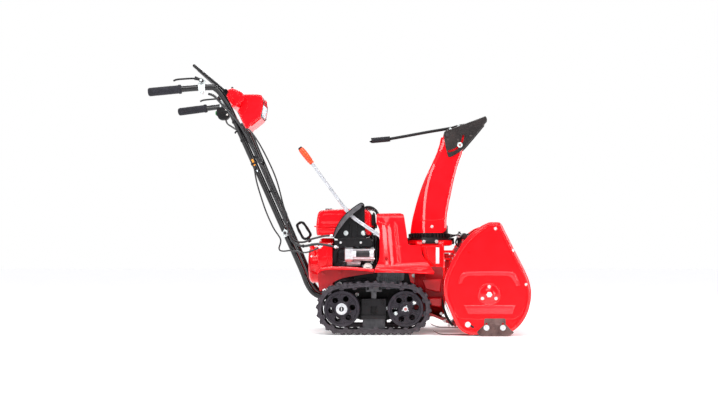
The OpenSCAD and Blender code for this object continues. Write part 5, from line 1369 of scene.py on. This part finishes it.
# ------------------------------------------------------------------ deflector hood and its handle
P = Piece("deflector_hood_shell", DEFL)
ck = [(413, 811), (578, 873), (583, 871), (586, 862), (585, 853), (540, 799), (502, 755), (477, 732), (468, 725), (440, 710), (432, 708), (428, 712), (423, 729), (412, 780), (410, 789)]
slot_o = circ(424, 797, 69, 20, -87.5, 2)
slot_i = circ(424, 797, 61, 20, -87.5, 2)
hole = slot_o + slot_i[::-1]
for sg in (-1, 1):
    P.plate(ck, [hole, circ(424, 797, 4.1, 20)], sg * 72.5 if sg > 0 else -75, sg * 75 if sg > 0 else -72.5)
    # folded edge beads
    P.tube([(415, sg * 74, 811.4), (500, sg * 74, 843.2), (577, sg * 74, 872)], 2.0, 10, 6)
    P.tube([(584, sg * 74, 853), (540, sg * 74, 800), (502, sg * 74, 756.4), (477, sg * 74, 733.4)], 1.5, 8, 4)
rows = [[(413 + 165 * t, y, 811 + 62 * t + 1.4 * (1 - (y / 75) ** 2)) for y in (-75, -60, -40, -20, 0, 20, 40, 60, 75)] for t in [i / 12 for i in range(13)]]
R, C = len(rows), 9
v = [p for r in rows for p in r] + [(p[0] + 0.9, p[1], p[2] - 2.4) for r in rows for p in r]
n = R * C
f = []
for i in range(R - 1):
    for j in range(C - 1):
        a, b, c, dd = i * C + j, i * C + j + 1, (i + 1) * C + j + 1, (i + 1) * C + j
        f += [[a, b, c, dd], [a + n, dd + n, c + n, b + n]]
rim_ = [i * C for i in range(R)] + [(R - 1) * C + j for j in range(1, C)] + [i * C + C - 1 for i in range(R - 2, -1, -1)] + [j for j in range(C - 2, 0, -1)]
for k in range(len(rim_)):
    a, b = rim_[k], rim_[(k + 1) % len(rim_)]
    f.append([a, b, b + n, a + n])
P.put(v, f)
P.tube([(577.6, y, 872.6) for y in (-74, 0, 74)], 2.4, 10, 6)
for t in (0.3, 0.62):
    x, z = 413 + 165 * t, 811 + 62 * t + 1
    P.tube([(x, y, z) for y in (-66, 0, 66)], 2.2, 10, 6, flat=(1, 1))
P.prism([(421, 814), (500, 844), (498, 852), (470, 847), (440, 838), (421, 827)], -16, -12, ch=0.6)
P.prism([(421, 814), (500, 844), (498, 852), (470, 847), (440, 838), (421, 827)], 12, 16, ch=0.6)
P.mat(ZINC)
for x, z in ((440, 829), (474, 841)):
    for sg in (-1, 1):
        P.bolt((x, sg * 16, z), (0, sg, 0), 4.4, 4)
P.done("deflector_hood", ["deflector"], bevel=0.5, limit=50)

P = Piece("deflector_handle_bar", BLACKPL)
P.tube([(190, 0, 790.6), (260, 0, 803), (330, 0, 816), (400, 0, 828), (480, 0, 841)], 6, 16)
P.tube([(116, 0, 784), (120, 0, 784.4), (150, 0, 787), (188, 0, 790.6), (192, 0, 791)], lambda s: 11 if 0.02 < s < 0.97 else 9.6, 24)
P.mat(GRIP)
d = V((76, 0, 7)).normalized()
for i in range(11):
    P.lathe(V((124, 0, 784.7)) + d * (5.6 * i), d, [(10.8, -1.6), (11.7, -0.8), (11.7, 0.8), (10.8, 1.6)], 24)
P.done("deflector_hood", ["deflector_handle"], bevel=0)

# ------------------------------------------------------------------ handlebars
BAR = [(-734, -275, 940), (-672, -268.4, 947), (-610, -262, 954), (-505, -246, 964), (-482, -239, 959), (-462, -225, 938), (-436, -203, 890),
       (-384, -185.5, 770.5), (-332, -168, 651), (-279, -152, 529), (-226, -136, 407), (-191, -126, 327), (-158, -117, 250), (-137, -113, 196), (-114, -112, 163), (-86, -112, 147.5), (-56, -112, 145.5), (-24, -112, 145.5)]
P = Piece("handlebar_tubes", BLACKP)
P.tube(BAR, 12, 24, 6, mirror=True)
P.tube([(-356, -172, 706), (-356, 172, 706)], 8, 20, 4)
P.tube([(-246, -140, 453), (-246, 140, 453)], 8, 20, 4)
for sg in (-1, 1):
    P.prism([(-466, 938), (-452, 962), (-446, 963), (-441, 957), (-441, 948), (-452, 915), (-458, 916)], sg * 205 if sg > 0 else -214, sg * 214 if sg > 0 else -205, ch=1)
    # weld collars on each tube
    P.lathe((-356, sg * 171, 706), (0, sg, 0), [(11, -3), (9.4, 0), (8.2, -8)], 24, cap=(False, False))
    P.lathe((-246, sg * 139, 453), (0, sg, 0), [(11, -3), (9.4, 0), (8.2, -8)], 24, cap=(False, False))
P.mat(ZINC)
# joint clamp on the right tube, with its bolt
d = V((106, 32, -244)).normalized()
for sg in (-1,):
    c = V((-223, -135, 400))
    P.lathe(c - d * 10, d, [(12.6, 0), (15.4, 0.6), (15.4, 9), (12.6, 9.6)], 28, cap=(False, False))
    P.lathe(c + d * 4, d, [(12.6, 0), (15.4, 0.6), (15.4, 9), (12.6, 9.6)], 28, cap=(False, False))
    P.prism([(-236, 392), (-220, 386), (-210, 408), (-226, 416)], -156, -140, ch=1.5)
    P.mat(DARKS)
    P.bolt((-223, -156, 400), (0, -1, 0), 4.6, 5)
    P.mat(ZINC)
P.mat(BLACKPL)
d2 = V((104, 35, -239)).normalized()
for t in (0.22, 0.52, 0.9):
    c = V((-436, -203, 890)) + V((104, 35, -239)) * t
    P.lathe(c, d2, [(12.3, -5), (13.8, -4), (13.8, 4), (12.3, 5)], 28, cap=(False, False))
P.tube([(-405, -194, 800), (-412, -195, 796), (-414, -196, 790)], 3.4, 10)
P.mat(AMBER)
P.tube([(-349, -185.6, 690), (-344, -184, 678), (-338.6, -182.2, 665)], 3.6, 12, 4, flat=(1, 0.35))
P.mat(LABEL)
P.tube([(-331, -180.2, 648), (-328, -179.2, 641)], 2.4, 12, 2, flat=(1, 0.35))
P.done("chassis", ["handlebars"], bevel=0)

P = Piece("rubber_grips", GRIP)
def grip_r(s):
    return 16 - (1.4 if s > 0.985 or s < 0.015 else 0)
P.tube([(-737, -275.2, 939.7), (-700, -271.4, 943.9), (-660, -267.2, 948.4), (-610, -262, 954)], grip_r, 28, 6, mirror=True)
g0, g1 = V((-737, -275.2, 939.7)), V((-610, -262, 954))
d = (g1 - g0).normalized()
L_ = (g1 - g0).length
for sg in (-1, 1):
    for i in range(18):
        c = g0 + d * (9 + i * 4.6)
        P.lathe((c.x, c.y * (1 if sg < 0 else -1), c.z), (d.x, d.y * (1 if sg < 0 else -1), d.z), [(15.8, -1.2), (16.6, -0.6), (16.6, 0.6), (15.8, 1.2)], 28)
    c = g1 - d * 9
    P.lathe((c.x, c.y * (1 if sg < 0 else -1), c.z), (d.x, d.y * (1 if sg < 0 else -1), d.z), [(15.6, -4), (18, -2), (18, 5), (16, 8)], 28)
P.done("chassis", ["handle_grips"], bevel=0)

# ------------------------------------------------------------------ console, headlight, switches
P = Piece("console_pod", RED_P)
dome = [(-478, 981), (-470, 978.4), (-462, 978), (-455, 980), (-446, 984), (-438, 984), (-428, 981), (-417, 975), (-409, 965), (-403, 952), (-401, 941), (-404, 930), (-414, 913), (-426, 908), (-442, 907), (-452, 924)]
dm = smooth2(dome, 4, keep=(0,))
rings = []
for y, k in ((-112, 0.72), (-111.4, 0.84), (-108, 0.93), (-101, 0.985), (-90, 1.0), (-50, 1.0), (0, 1.0), (50, 1.0), (90, 1.0), (101, 0.985), (108, 0.93), (111.4, 0.84), (112, 0.72)):
    rings.append([(-436 + (x + 436) * k, y, 945 + (z - 945) * k) for x, z in dm])
P.loft(rings)
for sg in (-1, 1):
    # round boss with a pressed arc, brackets to the tubes
    P.lathe((-418, sg * 100, 946), (0, sg, 0), [(27, 6), (26, 11), (22, 12.6), (20, 11.6), (8, 11.6), (6, 12.4)], 40)
    P.prism([(-455, 935), (-443, 910), (-434, 914), (-446, 940)], sg * 104 if sg > 0 else -198, sg * 198 if sg > 0 else -104, ch=1.2)
P.mat(BLACKPL)
# instrument ring for the key, throttle quadrant plate, indicator
P.lathe((-446, -60, 972), (-0.1, 0, 1), [(9.4, 4), (9.4, 9.4), (14, 9.8), (15, 8), (15, 2)], 32, cap=(False, False))
P.prism([(-472, 976), (-428, 979), (-428, 981.4), (-472, 979)], 42, 47, ch=0.4)
P.prism([(-472, 976), (-428, 979), (-428, 981.4), (-472, 979)], 69, 74, ch=0.4)
P.lathe((-428, 0, 980), (0.3, 0, 1), [(8, -3), (8, 3), (6, 5), (2, 5.4)], 28)
P.done("chassis", ["control_console"], bevel=0.6, limit=50)

P = Piece("headlight_shell", RED_P)
lp = [(-400, 962), (-396, 964), (-336, 962), (-330, 959), (-322, 942), (-321, 924), (-324, 900), (-331, 872), (-336, 868), (-374, 836), (-386, 821), (-392, 826), (-404, 848), (-424, 896), (-422, 902), (-413, 914), (-405, 935), (-403, 950)]
hole = [(-341, 940), (-300, 940), (-300, 874), (-341, 874)]
rings = []
for y, k in ((-72, 0.90), (-71.2, 0.95), (-68.6, 0.985), (-64, 1.0)):
    rings.append([(-370 + (x + 370) * k, y, 905 + (z - 905) * k) for x, z in lp])
back = [[(x, y, z) for x, z in lp] for y in (-64, 0, 64)]
rings2 = [[(p[0], -p[1], p[2]) for p in r] for r in rings[::-1]]
# solid side cheeks and a closed shell whose front is open for the lamp
P.loft(rings, cap=(True, True))
P.loft(rings2, cap=(True, True))
skin = [lp[i] for i in (5, 4, 3, 2, 1, 0, 17, 16, 15, 14, 13, 12, 11, 10, 9, 8, 7)]
v, f = span_skin(skin, 66, -2.6, n=10)
P.put(v, f)
for sg in (-1, 1):
    P.tube([(-398, sg * 70, 960.6), (-334, sg * 70, 960), (-325, sg * 70, 942)], 2.2, 10, 5)
    # pressed chin line and arcs on the cheek
    P.tube([(-352, sg * 71, 866), (-376, sg * 71, 846), (-388, sg * 71, 838)], 2.0, 10)
    P.tube([(-398, sg * 71.4, 952), (-388, sg * 71.6, 944), (-383, sg * 71.6, 926), (-388, sg * 71.4, 904), (-396, sg * 71, 890)], 2.0, 10)
    P.mat(DARKS)
    P.screw((-330, sg * 66.4, 880), (0, sg, 0), 4.6, 3)
    P.mat(RED_P)
# bezel round the lamp and chin pad
P.prism([(-333, 872), (-337, 869), (-372, 838), (-369, 835.4), (-333, 865), (-330, 869)], -60, 60, ch=1.2)
P.mat(CHROME)
# bowl reflector behind the lens
for cy in (-33, 33):
    P.lathe((-342, cy, 907), (1, 0, 0.05), [(3, -16), (14, -13), (24, -6), (29, 0), (30, 1)], 36, cap=(False, False))
P.mat(WHITEP)
for cy in (-33, 33):
    P.lathe((-354, cy, 907), (1, 0, 0.05), [(2, -3), (5, 0), (5.6, 5), (3, 9), (1, 10)], 24)
P.done("chassis", ["headlight_housing"], bevel=0.5, limit=50)

P = Piece("headlight_glass", LENS)
lens = [(-338, 938), (-325, 938), (-322.4, 930), (-321.6, 922), (-325, 900), (-330.6, 876), (-341, 876)]
P.loft([[(x * 1 + (0 if abs(y) < 60 else -0.6), y, 907 + (z - 907) * (1 if abs(y) < 64 else 0.97)) for x, z in lens] for y in (-65.6, -62, -40, -20, 0, 20, 40, 62, 65.6)])
for i in range(11):
    y = -55 + 11 * i
    P.tube([(-322.6, y, 930), (-321.9, y, 918), (-325.4, y, 898), (-330.4, y, 879)], 0.9, 6, 4)
P.mat(BLACKPL)
P.tube([(-338, -66.6, 939.4), (-326, -66.6, 939.4), (-321.6, -66.6, 922), (-331, -66.6, 875.4), (-341, -66.6, 874.6)], 1.7, 8, 5)
P.tube([(-338, 66.6, 939.4), (-326, 66.6, 939.4), (-321.6, 66.6, 922), (-331, 66.6, 875.4), (-341, 66.6, 874.6)], 1.7, 8, 5)
P.done("chassis", ["headlight_lens"], bevel=0.4, limit=50)

P = Piece("switch_housing", BLACKPL)
sw = smooth2([(-558, 943), (-553, 950), (-540, 951.4), (-506, 951), (-497, 944), (-499, 928), (-502, 912), (-514, 898), (-528, 896), (-542, 897), (-552, 906), (-557, 926)], 3)
P.loft([[(-527 + (x + 527) * k, y, 924 + (z - 924) * k) for x, z in sw] for y, k in ((200, 0.86), (202, 0.95), (206, 1.0), (224, 1.0), (227.6, 0.95), (229, 0.86))])
P.lathe((-556, 214, 926), (-1, 0, 0), [(12.6, -6), (12.6, 2.2), (11.4, 3.2), (9.5, 3.2), (9.4, -4)], 32, cap=(False, False))
P.tube([(-540, 230, 926), (-541, 231, 944), (-538, 231, 970)], 3.6, 10, flat=(1, 0.6))
P.tube([(-514, 230, 926), (-513, 231, 944), (-515, 231, 970)], 3.6, 10, flat=(1, 0.6))
for i in range(4):
    P.tube([(-548 + 2 * i, 199.4, 908 + 7 * i), (-508 + 2 * i, 199.4, 906 + 7 * i)], 1.4, 8, 2)
P.mat(WHITEP)
P.lathe((-516, 199.6, 940), (0, -1, 0), [(4.6, 0), (4.4, 1.8), (2, 2.4)], 20)
P.lathe((-512, 200, 918), (0, -1, 0), [(4.2, 0), (4.0, 1.6), (2, 2.2)], 20)
P.mat(CABLE)
P.tube([(-520, 214, 898), (-512, 212, 880), (-486, 206, 862), (-452, 200, 838), (-410, 190, 790)], 3.6, 10)
P.done("chassis", ["switch_box"], bevel=0.4, limit=50)

P = Piece("start_button_cap", GREEN)
P.lathe((-547, 214, 926), (-1, 0, 0), [(8.4, 0), (9, 0.8), (9, 15.4), (8, 16.6), (6, 17), (5, 16.2), (2, 16.2)], 36)
P.done("start_button", ["auger_button"], bevel=0)

P = Piece("throttle_knob", BLACKPL)
P.tube([(-448, 58, 950), (-448, 58, 990)], 3.3, 14, 4)
P.lathe((-448, 55, 950), (0, 1, 0), [(2.7, 0), (6, 0), (6, 6), (2.7, 6)], 24, cap=(False, False))
P.lathe((-448, 58, 984), (0, 0, 1), [(3.2, 4.8), (6.6, 5.8), (8, 8), (8, 11), (6.4, 14.6), (3, 16.8)], 28)
P.done("throttle", ["throttle_lever"], bevel=0)

P = Piece("key_body", BLACKPL)
P.lathe((-446, -60, 966), (0, 0, 1), [(8.6, 0), (9, 0.6), (9, 13.8), (8, 14.8), (4, 15)], 32)
P.prism([(-450, 980), (-442, 980), (-441, 991), (-444, 994), (-448, 994), (-451, 991)], -72, -48, ch=1.6)
P.mat(ZINC)
P.lathe((-446, -60, 992.6), (0, 0, 1), [(3.6, 0), (3.4, 1), (2, 1.4)], 20)
P.done("key", ["ignition_key"], bevel=0.3, limit=50)

# ------------------------------------------------------------------ bail and turning levers
P = Piece("bail_loop", BLACKP)
path = [(-450, -196, 953), (-478, -204.5, 976), (-520, -217.6, 1010.6), (-558, -229.6, 1042), (-567, -229, 1049), (-568, -222, 1050), (-568, -120, 1050), (-568, 0, 1050)]
full = [V(p) for p in path] + [V((p[0], -p[1], p[2])) for p in path[-2::-1]]
P.tube(full, 6, 18, 6)
for sg in (-1, 1):
    P.lathe((-450, sg * 190, 953), (0, sg, 0), [(4.1, 0), (9.6, 0), (10, 0.5), (10, 9.5), (9.6, 10), (4.1, 10)], 32, cap=(False, False))
# foam-like sleeve on the crossbar
P.mat(GRIP)
P.tube([(-568, -150, 1050), (-568, 0, 1050), (-568, 150, 1050)], 6.6, 20, 8)
P.done("bail", ["clutch_bail"], bevel=0)

for side, sg in (("right", -1), ("left", 1)):
    P = Piece("turn_lever_blade_" + side, BLACKPL)
    P.tube([(-534, sg * 262.6, 988), (-548, sg * 262.8, 991.6), (-566, sg * 263, 995), (-600, sg * 265, 993), (-628, sg * 267, 990), (-641, sg * 268, 984.6)], 4.4, 14, 6, flat=(0.8, 1.1))
    P.lathe((-534, sg * 257, 988), (0, sg, 0), [(3.1, 0), (7.6, 0), (8, 0.6), (8, 10.4), (7.6, 11), (3.1, 11)], 28, cap=(False, False))
    P.done("turn_lever_" + side, ["side_lever_" + side], bevel=0)

# recoil grip: moulded loop with finger waves
P = Piece("starter_grip_loop", BLACKPL)
M = Matrix.Rotation(math.radians(-30), 3, "Y")
C0 = V((-156, -66, 410))
loop = [(-22, -26), (-22, 0), (-20, 26), (-14, 40), (0, 43), (14, 40), (20, 26), (22, 0), (22, -26), (13, -35.4), (0, -37.6), (-13, -35.4)]
ls = smooth2([(x * 0.77, z * 0.86) for x, z in loop], 5)
rings = []
n = len(ls)
ctr = []
for i, (x, z) in enumerate(ls):
    ctr.append(V((x, 0, z)))
for i in range(n + 1):
    p = ctr[i % n]
    t = (ctr[(i + 1) % n] - ctr[i - 1 if i % n else n - 1]).normalized()
    nrm = t.cross(V((0, 1, 0))).normalized()
    r1, r2 = 5.4 + 0.5 * math.cos(i * 0.9), 10.4
    ring = []
    for j in range(14):
        a = 2 * pi * j / 14
        ring.append(M @ (p + nrm * (r1 * math.cos(a)) + V((0, 1, 0)) * (r2 * math.sin(a))) + C0)
    rings.append(ring)
P.loft(rings, cap=(False, False))
base = M @ V((0, 0, -51.4)) + C0
dirr = M @ V((0, 0, 1))
P.lathe(base, dirr, [(5.8, 0), (7, 1), (7, 12), (8.6, 16.6), (10, 20)], 28)
P.mat(GRIP)
P.done("pull_grip", ["recoil_grip"], bevel=0)

# ------------------------------------------------------------------ control cables with ferrules and ties
P = Piece("cable_harness", CABLE)
c_right = [(-512, -238, 940), (-488, -234, 930), (-458, -227, 898), (-426, -224, 866), (-386, -208, 811), (-331, -177, 698), (-275, -160, 567), (-222, -150, 446), (-205, -154, 394), (-187, -155, 362), (-150, -154, 348), (-90, -154, 356), (-20, -154, 344)]
c_front = [(-386, -82, 824), (-362, -92, 804), (-318, -100, 735), (-266, -104, 624), (-234, -108, 510), (-220, -114, 474), (-220, -118, 446)]
c_rear = [(-340, -184, 652), (-332, -182, 604), (-318, -176, 552), (-296, -168, 484), (-268, -160, 420), (-240, -156, 374), (-246, -156, 338), (-232, -156, 328), (-194, -158, 330), (-147, -160, 322), (-112, -160, 330), (-80, -156, 346)]
c_top = [(-398, -140, 838), (-368, -132, 776), (-316, -126, 660), (-268, -124, 560), (-228, -120, 458), (-205, -112, 394), (-184, -120, 368), (-150, -136, 364), (-114, -144, 377), (-62, -140, 389), (-39, -140, 389)]
P.tube(c_right, 5, 12, 8)
P.tube(c_front, 3, 10, 8)
P.tube(c_rear, 3, 10, 8)
P.tube(c_top, 4, 12, 8)
P.mat(ZINC)
for q, d in (((-22, -154, 344.4), (1, 0, -0.15)), ((-39, -140, 389), (-1, 0, 0)), ((-84, -156.4, 344), (1, 0, 0.4))):
    P.lathe(q, d, [(3, -6), (6, -5), (6.4, 4), (4, 6), (2, 12)], 20)
P.mat(BLACKPL)
for q, d in (((-331, -177, 698), (57, 17, -130)), ((-275, -160, 567), (57, 14, -125)), ((-150, -154, 348), (1, 0, 0)), ((-268, -124, 560), (44, 2, -100))):
    P.lathe(q, d, [(5.2, -4), (6.8, -3), (6.8, 3), (5.2, 4)], 20)
P.done("chassis", ["control_cables"], bevel=0)

# ------------------------------------------------------------------ remaining hardware (fasteners)
P = Piece("hinge_hardware", ZINC)
for sg in (-1, 1):
    # lever clamp round the tube, with its knob
    a, b = V((-548, sg * 251.8, 960)), V((-522, sg * 248.5, 962.6))
    P.lathe(a, b - a, [(12.4, 0), (16, 0.2), (17, 1.4), (17, 24), (16, 25.8), (12.4, 26)], 36, cap=(False, False))
    P.prism([(-546, 973), (-522, 973), (-522, 990), (-526, 996), (-534, 999), (-541, 996), (-546, 990)], min(sg * 244, sg * 256), max(sg * 244, sg * 256), ch=1.2)
    P.prism([(-541, 946), (-528, 946), (-529, 938), (-533, 935), (-538, 938)], min(sg * 246, sg * 256), max(sg * 246, sg * 256), ch=1)
    P.bolt((-534, sg * 256, 941), (0, sg, 0), 3.6, 4)
    P.mat(BLACKPL)
    P.tube([(-538, sg * 250, 992), (-552, sg * 250, 996), (-562, sg * 250, 999)], lambda s: 4.5 + 3.6 * s, 18)
    P.mat(ZINC)
    P.lathe((-534, sg * 252, 988), (0, sg, 0), [(3, 0), (3, 17), (5, 17.2), (5, 19.6), (3, 20)], 20)
    P.lathe((-450, sg * 186, 953), (0, sg, 0), [(6, 0), (6, 3), (4, 3.2), (4, 19), (3, 20)], 20)
    # bearing blocks on the track frame tubes
    P.mat(BLACKS)
    blk_o = circ(8, 102, 28, 40, -180, 0) + [(42, 131.8), (-26, 131.8)]
    P.plate(blk_o, [circ(8, 102, 18.1, 36)], min(sg * 82, sg * 93.5), max(sg * 82, sg * 93.5))
    P.mat(ZINC)
    P.bolt((8, sg * 93.5, 78), (0, sg, 0), 4, 3)
P.lathe((165, -128, 381), (0, -1, 0), [(5, 0), (5, 9), (6, 9.2), (6, 10.6), (4, 11)], 24)
P.lathe((-448, 52, 950), (0, 1, 0), [(2.5, 0), (2.5, 12)], 16)
P.done("chassis", ["fasteners"], bevel=0.4, limit=50)

# ------------------------------------------------------------------ studio
fl = bpy.data.meshes.new("studio_floor")
fl.from_pydata([(-30, -30, 0), (30, -30, 0), (30, 30, 0), (-30, 30, 0)], [], [[0, 1, 2, 3]])
floor = bpy.data.objects.new("studio_floor", fl)
bpy.context.scene.collection.objects.link(floor)
fm = make_mat("studio_paper", srgb(247, 247, 248), srgb(250, 250, 250), scale=3, rough=(0.7, 0.8), bump=(200, 0.02, 0.0005))
pb = [n_ for n_ in fm.node_tree.nodes if n_.type == "BSDF_PRINCIPLED"][0]
pb.inputs["Emission Color"].default_value = (1, 1, 1, 1)
pb.inputs["Emission Strength"].default_value = 0.2
fl.materials.append(fm)

w = bpy.data.worlds.new("studio")
bpy.context.scene.world = w
w.use_nodes = True
t = w.node_tree
t.nodes.clear()
o = t.nodes.new("ShaderNodeOutputWorld")
mixs = t.nodes.new("ShaderNodeMixShader")
lp_ = t.nodes.new("ShaderNodeLightPath")
b1 = t.nodes.new("ShaderNodeBackground")
b1.inputs[1].default_value = 1.0
wc = t.nodes.new("ShaderNodeTexCoord")
wx = t.nodes.new("ShaderNodeSeparateXYZ")
wr = t.nodes.new("ShaderNodeValToRGB")
t.links.new(wc.outputs["Generated"], wx.inputs[0])
t.links.new(wx.outputs["Z"], wr.inputs[0])
t.links.new(wr.outputs[0], b1.inputs[0])
we = wr.color_ramp.elements
we[0].position, we[0].color = 0.0, (0.05, 0.05, 0.055, 1)
we[1].position, we[1].color = 0.30, (0.10, 0.10, 0.11, 1)
for q_, c_ in ((0.52, 0.30), (0.64, 0.62), (1.0, 0.62)):
    e_ = we.new(q_)
    e_.color = (c_, c_, c_ * 1.03, 1)
b2 = t.nodes.new("ShaderNodeBackground")
b2.inputs[0].default_value = (1, 1, 1, 1)
b2.inputs[1].default_value = 1.0
t.links.new(lp_.outputs["Is Camera Ray"], mixs.inputs[0])
t.links.new(b1.outputs[0], mixs.inputs[1])
t.links.new(b2.outputs[0], mixs.inputs[2])
t.links.new(mixs.outputs[0], o.inputs[0])


def area(name, loc, target, size, power, sy=None):
    l = bpy.data.lights.new(name, "AREA")
    l.shape = "RECTANGLE"
    l.size = size
    l.size_y = sy or size
    l.energy = power
    ob = bpy.data.objects.new(name, l)
    ob.location = loc
    ob.rotation_euler = (V(target) - V(loc)).to_track_quat("-Z", "Y").to_euler()
    bpy.context.scene.collection.objects.link(ob)
    return ob


sun = bpy.data.lights.new("key_sun", "SUN")
sun.energy = 1.35
sun.angle = math.radians(75)
so = bpy.data.objects.new("key_sun", sun)
so.rotation_euler = (math.radians(14), math.radians(-6), 0)
bpy.context.scene.collection.objects.link(so)
area("key_top", (0.3, -1.6, 2.5), (0.1, 0, 0.3), 3.0, 34, 0.35)
area("front_left", (-2.7, -3.3, 1.3), (0, 0, 0.45), 0.75, 50, 2.4)
area("front_right", (3.0, -3.1, 1.3), (0.2, 0, 0.4), 0.7, 42, 2.4)
area("fill_front", (0.2, -4.6, 2.8), (0.1, 0, 0.3), 2.6, 30, 1.0)
area("back_rim", (-0.6, 3.2, 2.2), (0, 0, 0.5), 2.4, 30, 0.6)
area("back_strip", (2.6, 2.8, 1.3), (0, 0, 0.4), 0.5, 26, 2.2)

cam = bpy.data.cameras.new("camera")
cam.sensor_width = 36
cam.lens = 53.6
cam.shift_x = -0.0669
cam.shift_y = 0.0822
cam.clip_end = 200
co = bpy.data.objects.new("camera", cam)
co.location = (0.262, -4.4, 0.2925)
co.rotation_euler = (pi / 2, 0, 0)
bpy.context.scene.collection.objects.link(co)
bpy.context.scene.camera = co
bpy.context.scene.view_settings.view_transform = "Standard"
